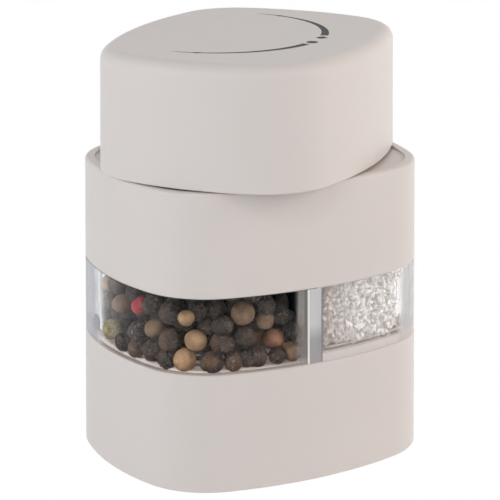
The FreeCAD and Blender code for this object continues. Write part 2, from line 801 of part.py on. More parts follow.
def make_pawl(name, level, sense):
    """Hub keyed to the shaft with two spring arms whose tips catch the ratchet one way."""
    body = new_body(f"{name}_pawl", f"boss_height + 2 * rest_gap + {level} * {HUB_PITCH}", turned=True)
    flange = new_sketch(body)
    circle(flange, "hub_flange_radius")
    pad(body, flange, "hub_flange")
    hub = new_sketch(body)
    circle(hub, HUB_RADIUS)
    pad(body, hub, f"{HUB_PITCH} - rest_gap")
    arm = new_sketch(body, "hub_flange + pinion_floor + 2 * rest_gap")
    pawl_arm(arm, sense)
    first = pad(body, arm, "pawl_height")
    repeat_round(body, [first], "2")
    key = new_sketch(body)
    half = "shaft_side / 2 + socket_clearance"
    rectangle(key, half, half)
    pocket(body, key, HUB_PITCH)


def pawl_arm(sketch, sense):
    """Thin arm that leaves the hub and runs along the ratchet to a hooked tip just past a tooth face."""
    reach = "( ratchet_radius - pawl_play )"
    back = "( ratchet_radius - ratchet_depth - pawl_thickness / 4 )"
    corners = [
        (reach, "pawl_tip_angle"),
        (f"( {reach} - pawl_hook_depth )", "pawl_hook_angle"),
        (f"( {back} - pawl_thickness / 4 )", "pawl_neck_angle"),
        (f"( {back} - pawl_thickness / 2 )", "pawl_bend_angle"),
        (f"( {HUB_RADIUS} + pawl_thickness / 4 )", "pawl_root_angle"),
        (f"( {HUB_RADIUS} - pawl_thickness / 2 )", "pawl_root_angle"),
        (f"( {HUB_RADIUS} - pawl_thickness / 2 )", "pawl_heel_angle"),
        (f"( {back} - pawl_thickness * 5 / 4 )", "pawl_bend_angle"),
        (f"( {back} - pawl_thickness )", "pawl_neck_angle"),
        (f"( {back} - pawl_thickness )", "pawl_tip_angle"),
    ]
    if sense < 0:
        corners = corners[::-1]
    polygon(sketch, [
        (f"{radius} * cos({angle})", f"{sense} * {radius} * sin({angle})")
        for radius, angle in corners
    ])


def make_pinion(name, level, sense):
    """Pinion that turns freely on its pawl's hub, with saw teeth inside for the pawl."""
    foot = f"boss_height + hub_flange + 3 * rest_gap + {level} * {HUB_PITCH}"
    body = new_body(f"{name}_pinion", foot)
    blank = new_sketch(body)
    circle(blank, "gear_module * ( pinion_teeth / 2 + tooth_addendum )")
    pad(body, blank, "pinion_width")
    gap = new_sketch(body)
    tooth_gap(gap, "pinion_teeth", 180 / SIZES["pinion_teeth"])
    cut = pocket(body, gap, "pinion_width")
    repeat_round(body, [cut], "pinion_teeth")
    bore = new_sketch(body)
    circle(bore, f"{HUB_RADIUS} + running_gap")
    pocket(body, bore, "pinion_floor")
    ratchet = new_sketch(body, "pinion_floor")
    step = 360 / SIZES["ratchet_teeth"]
    corners = []
    for tooth in range(SIZES["ratchet_teeth"]):
        face = f"cap_rest_angle + {sense * tooth * step}"
        ramp_end = f"cap_rest_angle + {sense * (tooth + 1) * step}"
        corners.append((f"ratchet_radius * cos({face})", f"ratchet_radius * sin({face})"))
        corners.append((
            f"( ratchet_radius - ratchet_depth ) * cos({ramp_end})",
            f"( ratchet_radius - ratchet_depth ) * sin({ramp_end})",
        ))
    polygon(ratchet, corners)
    pocket(body, ratchet, "pinion_width")


def tooth_gap(sketch, teeth, turn):
    """Space between two involute teeth, centred on the angle turn, from the root to past the tip circle."""
    count = SIZES[teeth]
    module = SIZES["gear_module"]
    pitch = module * count / 2
    pressure = math.radians(SIZES["pressure_angle"])
    base = pitch * math.cos(pressure)
    root = pitch - module * SIZES["tooth_dedendum"]
    tip = pitch + module * (SIZES["tooth_addendum"] + SIZES["tooth_overrun"])

    def half_gap(radius):
        angle = math.acos(min(1.0, base / radius))
        swell = (math.tan(angle) - angle) - (math.tan(pressure) - pressure)
        return math.pi / (2 * count) + SIZES["tooth_play"] / (2 * pitch) + swell

    def place(radius, side):
        angle = math.radians(turn) + side * half_gap(max(radius, base))
        return Vector(radius * math.cos(angle), radius * math.sin(angle), 0)

    middle = (max(root, base) + tip) / 2
    low = max(root, base)
    lines = [
        Part.LineSegment(place(root, 1), place(root, -1)),
        Part.Arc(place(low, -1), place(middle, -1), place(tip, -1)),
        Part.LineSegment(place(tip, -1), place(tip, 1)),
        Part.Arc(place(tip, 1), place(middle, 1), place(low, 1)),
    ]
    if base > root:
        lines.insert(1, Part.LineSegment(place(root, -1), place(low, -1)))
        lines.append(Part.LineSegment(place(low, 1), place(root, 1)))
    for line in lines:
        sketch.addGeometry(line, False)


def make_gear(name, side, level):
    """Ring gear whose tube carries the ring burr and turns between base cover and gear plate."""
    body = new_body(f"{name}_gear", CARRIER_FOOT, f"{side} * grinder_offset")
    tube = new_sketch(body)
    circle(tube, "carrier_radius")
    pad(body, tube, CARRIER_HEIGHT)
    tooth_foot = (
        f"boss_height + hub_flange + 3 * rest_gap + {level} * {HUB_PITCH}"
        f" + ( pinion_width - gear_width ) / 2 - {CARRIER_FOOT}"
    )
    blank = new_sketch(body, tooth_foot)
    circle(blank, "gear_module * ( gear_teeth / 2 + tooth_addendum )")
    pad(body, blank, "gear_width")
    gap = new_sketch(body, tooth_foot)
    tooth_gap(gap, "gear_teeth", 0)
    cut = pocket(body, gap, "gear_width")
    repeat_round(body, [cut], "gear_teeth")
    bore = new_sketch(body)
    circle(bore, "carrier_radius - carrier_wall")
    pocket(body, bore, f"{CARRIER_HEIGHT} - carrier_mouth_depth")
    mouth = new_sketch(body)
    circle(mouth, "carrier_mouth_radius")
    pocket(body, mouth, CARRIER_HEIGHT)


def make_ring_burr(name, side):
    body = new_body(f"{name}_ring_burr", BURR_FOOT, f"{side} * grinder_offset")
    profile = new_sketch(body, role="XZ_Plane")
    outer = "carrier_radius - carrier_wall - running_gap"
    polygon(profile, [
        ("ring_throat_radius + ring_flare", "0"),
        (outer, "0"),
        (outer, "burr_height"),
        ("ring_bore_radius", "burr_height"),
        ("ring_bore_radius", "ring_shoulder_height"),
        ("ring_throat_radius", "ring_throat_height"),
    ])
    revolve(body, profile)
    notch = new_sketch(body)
    polygon(notch, [
        ("ring_throat_radius - ring_groove_depth", "0 - ring_groove_depth"),
        ("ring_bore_radius + ring_groove_depth", "0"),
        ("ring_throat_radius - ring_groove_depth", "ring_groove_depth"),
    ])
    cut = pocket(body, notch, "burr_height")
    repeat_round(body, [cut], "ring_grooves")


def make_cone_burr(name, side):
    """Cone with twisted crushing flutes that fade out above the fine zone at its foot."""
    body = new_body(f"{name}_cone_burr", BURR_FOOT, f"{side} * grinder_offset")
    profile = new_sketch(body, role="XZ_Plane")
    polygon(profile, [
        ("0", "0"),
        ("ring_throat_radius + ring_flare - burr_gap", "0"),
        ("ring_throat_radius - burr_gap", "ring_throat_height"),
        ("cone_top_radius", "burr_height"),
        ("0", "burr_height"),
    ])
    revolve(body, profile)
    foot_radius = "ring_throat_radius - burr_gap"
    half_depth = "cone_groove_depth / 2"
    foot = flute_section(body, "ring_throat_height / 2", foot_radius, "0", half_depth)
    above = "burr_height + rest_gap"
    top = flute_section(body, above, "cone_top_radius", "cone_twist", "cone_groove_depth")
    flute = body.newObject("PartDesign::SubtractiveLoft", body.Label + "_flute")
    flute.Profile = foot
    flute.Sections = [top]
    flute.Ruled = True
    doc.recompute()
    repeat_round(body, [flute], "cone_grooves")
    pocket_for_spring = new_sketch(body)
    circle(pocket_for_spring, "spring_radius + spring_wire")
    pocket(body, pocket_for_spring, "cone_pocket_depth")
    key = new_sketch(body)
    half = "stem_side / 2 + socket_clearance"
    rectangle(key, half, half)
    pocket(body, key, "burr_height")


def flute_section(body, height, radius, turn, depth):
    """Triangle across the cone's skin at one height."""
    sketch = new_sketch(body, height)
    inner = f"( {radius} - {depth} )"
    outer = f"( {radius} + cone_groove_depth )"
    ahead = f"{turn} + cone_groove_spread"
    behind = f"{turn} - cone_groove_spread"
    polygon(sketch, [
        (f"{inner} * cos({turn})", f"{inner} * sin({turn})"),
        (f"{outer} * cos({ahead})", f"{outer} * sin({ahead})"),
        (f"{outer} * cos({behind})", f"{outer} * sin({behind})"),
    ])
    return sketch


def make_stem(name, side):
    body = new_body(f"{name}_stem", "stem_foot", f"{side} * grinder_offset")
    thread = new_sketch(body)
    circle(thread, "stem_thread_radius")
    pad(body, thread, "stem_shoulder - stem_foot")
    square = new_sketch(body, "stem_shoulder - stem_foot")
    rectangle(square, "stem_side / 2", "stem_side / 2")
    pad(body, square, f"{BURR_FOOT} + burr_height - stem_shoulder")
    head_foot = f"{BURR_FOOT} + burr_height - stem_foot"
    head = new_sketch(body, head_foot)
    circle(head, "stem_head_radius")
    pad(body, head, "stem_head")
    dress(body, "Fillet", "stem_head / 3", edges_at(body, f"{head_foot} + stem_head"))


def make_spring(name, side):
    body = new_body(f"{name}_spring", "carrier_seat + rest_gap", f"{side} * grinder_offset")
    wire = new_sketch(body, role="XZ_Plane")
    circle(wire, "spring_wire / 2", "spring_radius", "spring_wire / 2")
    coil = body.newObject("PartDesign::AdditiveHelix", body.Label + "_coil")
    coil.Profile = wire
    coil.ReferenceAxis = (wire, ["V_Axis"])
    coil.Mode = "height-turns-angle"
    room = f"{BURR_FOOT} + cone_pocket_depth - carrier_seat - 2 * rest_gap"
    coil.setExpression("Height", dim(f"{room} - spring_wire"))
    coil.setExpression("Turns", dim("spring_turns"))
    doc.recompute()


def make_knob(name, side):
    foot = "carrier_seat - spider_thickness - knob_gap - knob_height"
    body = new_body(f"{name}_knob", foot, f"{side} * grinder_offset")
    disc = new_sketch(body)
    circle(disc, "knob_radius")
    pad(body, disc, "knob_height")
    flute = new_sketch(body)
    circle(flute, "knob_flute_radius", "knob_radius")
    cut = pocket(body, flute, "knob_height")
    repeat_round(body, [cut], "knob_flutes")
    bore = new_sketch(body)
    circle(bore, "stem_thread_radius + running_gap")
    pocket(body, bore, "knob_height")


def make_charge(name):
    """The spice in one chamber, as a plain solid clear of the walls; the pepper's slopes to the divider."""
    body = new_body(f"{name}_charge", "lower_shell_height + floor_thickness + fill_gap")
    heap = new_sketch(body)
    chamber_outline(heap, f"{CHAMBER_INSET} + fill_gap", f"{HALF_DIVIDER} + fill_gap")
    pad(body, heap, "fill_height")
    tube = new_sketch(body)
    circle(tube, "tube_bore_radius + tube_wall + fill_gap")
    pocket(body, tube, "fill_height")
    if name == "pepper":
        slope = new_sketch(body, role="XZ_Plane")
        polygon(slope, [
            ("0", "heap_foot"),
            ("fill_height - heap_foot", "fill_height"),
            ("fill_height - heap_foot", "fill_height + heap_foot"),
            ("0", "fill_height + heap_foot"),
        ])
        cut = body.newObject("PartDesign::Pocket", body.Label + "_slope")
        cut.Profile = slope
        cut.Midplane = True
        cut.setExpression("Length", dim("body_width"))
        doc.recompute()
        body.Placement.Rotation = Rotation(Vector(0, 0, 1), 180)


make_lower_shell()
make_container()
make_upper_shell()
make_gear_plate()
make_base_cover()
make_screws(
    "body_screws",
    "cover_lift + pillar_recess",
    pillar_places(),
    f"{PLATE_TOP} + {SCREW_ENGAGEMENT} - 5 * rest_gap - cover_lift - pillar_recess",
)
make_cap_shell()
make_cap_insert()
make_screws(
    "cap_screws",
    f"{COVER_BOTTOM} + head_recess",
    cap_post_places(),
    "cap_screw_length + cover_thickness - head_recess - 5 * rest_gap",
    turned=True,
)
make_drive_shaft()
make_shaft_clip()
for level, (name, side) in enumerate(SIDES.items()):
    make_pawl(name, level, -side)
    make_pinion(name, level, -side)
    make_gear(name, side, level)
    make_ring_burr(name, side)
    make_cone_burr(name, side)
    make_stem(name, side)
    make_spring(name, side)
    make_knob(name, side)
    make_charge(name)

nodes = [item for item in doc.Objects if item.TypeId == "PartDesign::Body"]
for item in doc.Objects:
    if "Invalid" in item.State or "Error" in item.State:
        raise RuntimeError(f"{item.Label} failed to build")
for node in nodes:
    if node.Shape.isNull() or not node.Shape.isValid():
        raise RuntimeError(f"{node.Label} has no valid shape")
for node in nodes:
    node.Shape.exportStep(f"parts/{node.Label}.step")
    box = node.Shape.optimalBoundingBox()
    print(node.Label, len(node.Shape.Solids), round(node.Shape.Volume, 1), box)
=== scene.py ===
import math

import bmesh
import bpy
import numpy as np
from bpy.props import FloatProperty, FloatVectorProperty, IntProperty, PointerProperty
from bpy.types import Operator, Panel, PropertyGroup
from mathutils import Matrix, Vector
from mathutils.geometry import tessellate_polygon


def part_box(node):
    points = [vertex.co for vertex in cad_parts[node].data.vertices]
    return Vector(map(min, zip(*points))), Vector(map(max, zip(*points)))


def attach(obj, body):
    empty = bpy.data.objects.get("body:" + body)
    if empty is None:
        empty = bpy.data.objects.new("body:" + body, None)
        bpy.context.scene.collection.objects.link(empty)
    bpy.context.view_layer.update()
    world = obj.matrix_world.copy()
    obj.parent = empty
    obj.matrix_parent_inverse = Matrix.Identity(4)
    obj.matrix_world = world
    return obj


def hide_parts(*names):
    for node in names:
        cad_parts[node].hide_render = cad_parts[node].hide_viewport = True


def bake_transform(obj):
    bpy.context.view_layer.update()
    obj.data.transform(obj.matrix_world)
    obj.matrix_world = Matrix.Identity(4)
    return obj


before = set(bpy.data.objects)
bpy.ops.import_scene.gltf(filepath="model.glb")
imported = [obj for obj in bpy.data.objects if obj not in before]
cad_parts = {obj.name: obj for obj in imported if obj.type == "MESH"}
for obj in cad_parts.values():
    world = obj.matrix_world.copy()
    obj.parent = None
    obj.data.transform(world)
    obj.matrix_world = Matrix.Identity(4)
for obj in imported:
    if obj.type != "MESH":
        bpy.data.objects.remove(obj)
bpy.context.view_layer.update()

bl_info = {
    "name": "Twin Mill",
    "version": (1, 0, 0),
    "blender": (4, 5, 0),
    "location": "View3D > Sidebar > Mill",
    "description": "Dresses a pepper and salt mill with a turning cap and a clear window band",
    "category": "Object",
}

MM = 0.001
WHITE = (1.0, 1.0, 1.0)
MERGE_DISTANCE = 1e-6
COPY_CREASE = 25.0

# The drawn parts that the fine ones follow
LOWER_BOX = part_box("lower_shell")
UPPER_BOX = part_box("upper_shell")
CAP_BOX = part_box("cap_shell")
CHARGE_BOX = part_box("salt_charge")
CAD_BEVEL = 0.2 * MM
BODY_LENGTH = 75.4 * MM
CHARGE_PLAY = 0.3 * MM
CHAMBER_INSET = BODY_LENGTH / 2 - CHARGE_BOX[1].x - CHARGE_PLAY

# Casings and cap: steps of their rounds, and where the rings between two ends lie
ROUND_STEPS = 7
CAP_ROUND_STEPS = 14
BEVEL_STEPS = 2
BELTS = (0.35, 0.7)
DECK_EDGE = 0.15 * MM

# Hub and screw posts inside the cap
HUB_RADIUS = 6.6 * MM
HUB_BORE = 5.1 * MM
HUB_FOOT = 80.0 * MM
POST_PLACE = 13.4 * MM
POST_RADIUS = 3.0 * MM
POST_BORE = 1.3 * MM
POST_FOOT = 71.6 * MM

# Turning mark: start and end of its arcs in degrees, their taper, tip and barb, and place in degrees, reach and
# corners of the disc and the lozenge
MARK_ARCS = ((-77.5, 1.0), (-102.5, -181.0))
MARK_STEPS = 60
MARK_TAPER = 0.7
MARK_TIP = 0.12 * MM
BARB_PLACE, BARB_REACH, BARB_WIDTH = 0.82, 0.03, 0.7 * MM
MARK_DOTS = ((-97.0, 1.35 * MM, 28), (-83.5, 1.55 * MM, 4))

# Inside of the container: hoppers, tube round the shaft and the divider's air gap
HOPPER_X = 20.0 * MM
HOPPER_MOUTH = 12.8 * MM
HOPPER_OUTLET = 8.3 * MM
HOPPER_FOOT = 23.8 * MM
CHAMBER_FLOOR = 29.8 * MM
TUBE_RADIUS = 4.6 * MM
AIR_GAP = 1.05 * MM

# Finish of the container: painted shade at its ends where the wall is seen along, the divider's milky front with
# painted shade low down and along its right edge, a brownish haze of painted shade beside the front, the casing's tone
# painted as light on the ledge under the salt, and where the frosted faces turn warm or get painted shade
WINDOW_REACH = 20.0 * MM
ALONG_SPAN = (0.61, 0.71)
ALONG_LEAD = 0.20
PLATE_MIDDLE = -1.0 * MM
PLATE_HALF = 1.95 * MM
PLATE_DEPTH = 30.4 * MM
# The milky front is darker low down and along its right edge as painted shade
PLATE_FADE = (33.5 * MM, 37.0 * MM)
PLATE_SHADE_EDGE = 0.35 * MM
PLATE_CLEAR_EDGE = 0.5 * MM
HAZE_SPAN = (-6.2 * MM, -3.0 * MM)
HAZE_MOST = 0.5
# The casing's tone on the wall under the salt is painted light, strongest at the bottom
LEDGE_FADE = (29.6 * MM, 30.6 * MM)
LEDGE_MOST = 0.75
FROST_RAISED = 28.2 * MM
FROST_SHADE_EDGE = -0.5 * MM
FROST_GLOW, FROST_GLOW_LOSS = 0.17, 0.75

# Peppercorns: the folds of the dark ones, the kinds, and up to which throw of the dice each kind comes up
FOLD_SCALE = 1000.0
FOLD_WIDTH = 0.03
FOLD_WARP = 0.6
FOLD_SHIFTS = ((0.0, 0.0, 0.0), (0.31, 0.17, 0.07))
RIDGE_LIFT = 0.4
DENT_SCALE = 420.0
DENT_LEVEL, DENT_LEAST, DENT_DEPTH = 0.6, 0.35, 2.6
SMOOTH_FOLD = 0.1
FOLD_LEAST, FOLD_MORE = 0.6, 0.5
SQUASH = (0.93, 1.05)
FULL_TURN = (6.283, 6.283, 6.283)
KINDS = ("black", "dusky", "brown", "umber", "dull", "tan", "rosy", "red", "olive")
PLAIN_SHARES = (0.34, 0.62, 0.82, 0.93, 0.97, 0.985, 0.995, 0.998)

# Packing of the peppercorns: search along a line of sight, room left at first, how they are pushed apart, and
# which of them hide a shown one
SEARCH_STEPS, SEARCH_STEP = 900, 0.1 * MM
TRIES = 40
START_MARGIN = 1.5 * MM
START_CLEAR = 3.0 * MM
PUSHES, PUSH_SHARE = 180, 0.35
HOPPER_SHARE = 0.6
HEAP_CLEAR = 1.0 * MM
HIDING_SHARE, HIDING_LEAD = 0.8, 0.5 * MM
SLOPE_STEP = 0.01 * MM
FINE_ABOVE, FINE_DEPTH = 3 * MM, 3.2 * MM

# Salt: pitch, rows, layers, jitter and sizes of the crystals as shares, how deep they lie before the core, how far
# a crystal's corners reach and scatter, and the side with painted shade
GRAIN_PITCH = 0.56
GRAIN_ROW = 0.87
GRAIN_LAYER = 0.82
GRAIN_JITTER = 0.5
GRAIN_REACH = 0.4
GRAIN_LEAST, GRAIN_MORE = 0.75, 0.6
CORNER_REACH, CORNER_PLAY = 0.78, 0.22
CORE_PLAY = 1.9 * MM
SALT_SHADE = (0.70, 0.635, 0.615)
SALT_SHADE_SPAN = (2.0 * MM, 11.0 * MM)

# Stage
PICTURE = 500
SENSOR = 36.0
CAMERA_ASIDE = 0.07 * MM
FLOOR_HALF = 3.0
FLOOR_DROP = 0.00002
FLOOR_WHITE = 0.997
SKY_ABOVE = 0.55
LAMPS = (
    ("left_lamp", (-0.74, -0.12, 0.30), 0.5, (0.90, 0.965, 1.0)),
    ("right_lamp", (0.58, -0.46, 0.30), 0.55, (1.0, 0.955, 0.91)),
    ("top_lamp", (-0.25, -0.42, 0.70), 0.12, (1.0, 0.99, 0.98)),
)


def display_colour(red, green, blue):
    """A colour given as 0 to 255 on screen, as the linear values that shaders take."""
    parts = (channel / 255 for channel in (red, green, blue))
    return tuple(c / 12.92 if c <= 0.04045 else ((c + 0.055) / 1.055) ** 2.4 for c in parts)


def length(name, description, default):
    """A length in metres."""
    return FloatProperty(name=name, description=description, default=default, min=0.0,
                         subtype="DISTANCE", unit="LENGTH", precision=5)


def share(name, description, default):
    """A share from 0 to 1."""
    return FloatProperty(name=name, description=description, default=default, min=0.0, max=1.0,
                         subtype="FACTOR")


def colour(name, description, red, green, blue):
    """A colour with its default given as 0 to 255 on screen."""
    return FloatVectorProperty(name=name, description=description, size=3, min=0.0, max=1.0,
                               subtype="COLOR", default=display_colour(red, green, blue))


class MillSizes(PropertyGroup):
    body_length: length("Body length", "Length of the outline at the foot", BODY_LENGTH)
    body_width: length("Body width", "Width of the outline at the foot", 63.8 * MM)
    long_side_radius: length("Long side radius", "Bulge of the two long sides", 85.8 * MM)
    short_side_radius: length("Short side radius", "Bulge of the two short sides", 59.4 * MM)
    corner_radius: length("Corner radius", "Round of the four upright corners", 18.4 * MM)
    side_slope: FloatProperty(name="Side slope", default=0.016, min=0.0, max=0.2,
                              description="How far each side leans in for each unit of height")
    seam_low: length("Lower seam", "Height of the seam under the window", LOWER_BOX[1].z)
    seam_high: length("Upper seam", "Height of the seam over the window", UPPER_BOX[0].z)
    rim_height: length("Rim", "Height of the upper casing's rim", UPPER_BOX[1].z)
    cap_foot: length("Cap foot", "Height of the cap's lower edge", CAP_BOX[0].z)
    cap_top: length("Cap top", "Height of the cap's top face", CAP_BOX[1].z)
    cap_angle: FloatProperty(name="Cap angle", description="Turn of the cap on the body",
                             default=math.radians(37.1), subtype="ANGLE", unit="ROTATION")
    cap_inset: length("Cap inset", "How much smaller the cap is than the body", 0.55 * MM)
    cap_round: length("Cap edge round", "Round along the cap's top edge", 3.0 * MM)
    cap_wall: length("Cap wall", "Wall of the cap", 2.2 * MM)
    foot_round: length("Foot round", "Round along the foot", 0.3 * MM)
    seam_bevel: length("Seam bevel", "Bevel on each side of a seam", 0.1 * MM)
    shell_wall: length("Lower casing wall", "Wall of the lower casing", 2.2 * MM)
    sleeve_wall: length("Upper casing wall", "Wall of the upper casing", 1.4 * MM)
    rim_width: length("Rim width", "Width of the rim round the recess", 2.3 * MM)
    rim_round: length("Rim round", "Round on the rim's outer edge", 0.7 * MM)
    recess_depth: length("Recess depth", "Depth of the deck below the rim", 0.5 * MM)
    deck_thickness: length("Deck thickness", "Thickness of the deck", 1.5 * MM)
    filling_radius: length("Filling opening radius", "Round side of the filling openings", 24.0 * MM)
    filling_web: length("Filling web", "Half width of the web between them", 4.6 * MM)
    deck_bore: length("Deck bore", "Radius of the bore that guides the cap", 4.55 * MM)
    chamber_inset: length("Chamber inset", "From the foot's outline to the chambers' walls",
                          CHAMBER_INSET)
    divider: length("Divider face", "From the middle to a chamber's flat wall", 2.2 * MM)
    mark_radius: length("Mark radius", "Radius of the turning mark on the cap", 24.8 * MM)
    mark_offset: length("Mark offset", "From the cap's middle to the mark's middle", 8.06 * MM)
    mark_width: length("Mark width", "Widest part of the turning mark", 1.75 * MM)
    skin: length("Skin", "How far the fine casings stay inside the drawn ones", 0.015 * MM)


class MillFinish(PropertyGroup):
    shell: colour("Casing", "Satin off-white plastic", 220, 211, 207)
    shell_roughness: share("Casing roughness", "Roughness of the casing", 0.38)
    ink: colour("Mark", "Printed turning mark", 46, 47, 52)
    clear: colour("Window", "Clear plastic seen straight through", 250, 250, 250)
    # The window's two end tones are painted shade where the wall is seen along
    clear_left_shade: colour("Window's left end", "Clear plastic seen along its wall on the left", 184, 184, 189)
    clear_right_shade: colour("Window's right end", "Clear plastic seen along its wall on the right", 205, 204, 207)
    # The haze is painted shade beside the divider
    haze_shade: colour("Haze", "Pepper dust on the window beside the divider", 138, 123, 115)
    plate: colour("Divider's front", "Milky front of the divider's two walls", 212, 210, 213)
    frost: colour("Frosted faces", "Moulded draft faces of the divider and the floor", 226, 226, 230)
    frost_warm: colour("Frosted ledge", "Frosted faces that lie on the casing", 206, 196, 190)
    # The tube's tone beside the pepper is painted shade
    frost_shade: colour("Dusty tube", "Frosted tube beside the pepper", 134, 123, 117)
    inner: colour("Mechanism plastic", "Natural plastic of the gears and covers", 226, 222, 214)
    steel: colour("Steel", "Shaft, stems, springs and screws", 196, 196, 194)
    ceramic: colour("Burrs", "Fired ceramic of the burrs", 236, 233, 226)
    pepper_black: colour("Black corns", "Black skins", 46, 43, 44)
    pepper_dusky: colour("Dusky corns", "Black skins with a brown tinge", 52, 44, 42)
    pepper_brown: colour("Brown corns", "Dark brown skins", 66, 53, 47)
    pepper_umber: colour("Umber corns", "Paler brown skins", 90, 72, 62)
    pepper_dull: colour("Dull tan corns", "Brownish tan skins", 118, 96, 76)
    pepper_tan: colour("Tan corns", "Smooth tan skins", 158, 126, 96)
    pepper_rosy: colour("Rosy corns", "Smooth reddish skins", 170, 120, 96)
    pepper_red: colour("Red corns", "Red skins", 158, 50, 60)
    pepper_olive: colour("Olive corns", "Olive yellow skins", 152, 140, 96)
    salt: colour("Salt", "Coarse salt", 196, 191, 188)


class MillSpices(PropertyGroup):
    corn_radius: length("Corn radius", "Mean radius of a peppercorn", 2.45 * MM)
    corn_spread: share("Corn spread", "How much the radii differ", 0.14)
    corn_count: IntProperty(name="Corn count", description="Most corns packed behind the shown ones",
                            default=250, min=0)
    corn_wrinkle: length("Wrinkle depth", "Depth of a dark corn's folds", 0.30 * MM)
    heap_top: length("Filling height", "Height of the spices at the outer side", 54.1 * MM)
    heap_foot: length("Heap foot", "Height of the pepper's slope at the middle", 33.6 * MM)
    grain_size: length("Crystal size", "Mean size of a salt crystal", 1.9 * MM)
    seed: IntProperty(name="Seed", description="Seed of everything random", default=7, min=0)


class MillStage(PropertyGroup):
    azimuth: FloatProperty(name="Azimuth", description="Camera's turn round the mill",
                           default=math.radians(-29.9), subtype="ANGLE", unit="ROTATION")
    elevation: FloatProperty(name="Elevation", description="Camera's angle above the horizon",
                             default=math.radians(16.19), subtype="ANGLE", unit="ROTATION")
    distance: length("Distance", "From the camera to the point it looks at", 547.3 * MM)
    aim: length("Aim height", "Height of the point that the camera looks at", 46.4 * MM)
    lens: FloatProperty(name="Lens", description="Focal length", default=167.7, unit="CAMERA")
    left_power: FloatProperty(name="Left lamp", description="Power of the cool left lamp",
                              default=2.9, unit="POWER")
    right_power: FloatProperty(name="Right lamp", description="Power of the warm right lamp",
                               default=3.35, unit="POWER")
    top_power: FloatProperty(name="Top lamp", description="Power of the small lamp above",
                             default=0.7, unit="POWER")
    sky: FloatProperty(name="Sky", description="Strength of the surrounding light", default=0.37)


# Meshes


class Outline:
    """The casing's outline: four bulged sides joined by round corners, as the sizes have it."""

    STEPS = (30, 16, 34)

    def __init__(self, sizes):
        self.long_radius = sizes.long_side_radius
        self.short_radius = sizes.short_side_radius
        self.round = sizes.corner_radius
        self.skin = sizes.skin
        self.long_centre = sizes.body_width / 2 - self.long_radius
        self.short_centre = sizes.body_length / 2 - self.short_radius
        reach_long = self.long_radius - self.round
        reach_short = self.short_radius - self.round
        span = math.hypot(self.long_centre, self.short_centre)
        along = (span**2 + reach_long**2 - reach_short**2) / (2 * span)
        aside = math.sqrt(reach_long**2 - along**2)
        toward = (self.short_centre / span, -self.long_centre / span)
        self.corner = max((toward[0] * along - toward[1] * aside * way,
                           self.long_centre + toward[1] * along + toward[0] * aside * way) for way in (1, -1))
        self.short_end = math.atan2(self.corner[1], self.corner[0] - self.short_centre)
        self.long_start = math.atan2(self.corner[1] - self.long_centre, self.corner[0])

    def arcs(self):
        """Centre, radius, start and end of each arc, anticlockwise from the right-hand side."""
        cx, cy = self.corner
        s, t, pi = self.short_end, self.long_start, math.pi
        side, bend, back = self.STEPS
        return [
            ((self.short_centre, 0), self.short_radius, -s, s, side),
            ((cx, cy), self.round, s, t, bend),
            ((0, self.long_centre), self.long_radius, t, pi - t, back),
            ((-cx, cy), self.round, pi - t, pi - s, bend),
            ((-self.short_centre, 0), self.short_radius, pi - s, pi + s, side),
            ((-cx, -cy), self.round, pi + s, pi + t, bend),
            ((0, -self.long_centre), self.long_radius, pi + t, 2 * pi - t, back),
            ((cx, -cy), self.round, 2 * pi - t, 2 * pi - s, bend),
        ]

    def points(self, inset, turn=0.0):
        """Points of the outline moved in by the inset, turned about the middle."""
        found = []
        for (x, y), radius, start, end, steps in self.arcs():
            for step in range(steps):
                angle = start + (end - start) * step / steps
                reach = radius - inset - self.skin
                found.append((x + reach * math.cos(angle), y + reach * math.sin(angle)))
        return turned(found, turn)

    def depth(self, x, y, inset):
        """How far points lie inside the outline moved in by the inset."""
        x, y = np.abs(x), np.abs(y)
        short = self.short_radius - inset - np.hypot(x - self.short_centre, y)
        back = self.long_radius - inset - np.hypot(x, y - self.long_centre)
        bend = self.round - inset - np.hypot(x - self.corner[0], y - self.corner[1])
        angle = np.arctan2(y - self.corner[1], x - self.corner[0])
        in_corner = (angle > self.short_end) & (angle < self.long_start)
        return np.where(in_corner, np.minimum(bend, np.minimum(short, back)), np.minimum(short, back))


def turned(points, turn):
    """The points turned about the middle, seen from above."""
    cos, sin = math.cos(turn), math.sin(turn)
    return [(x * cos - y * sin, x * sin + y * cos) for x, y in points]


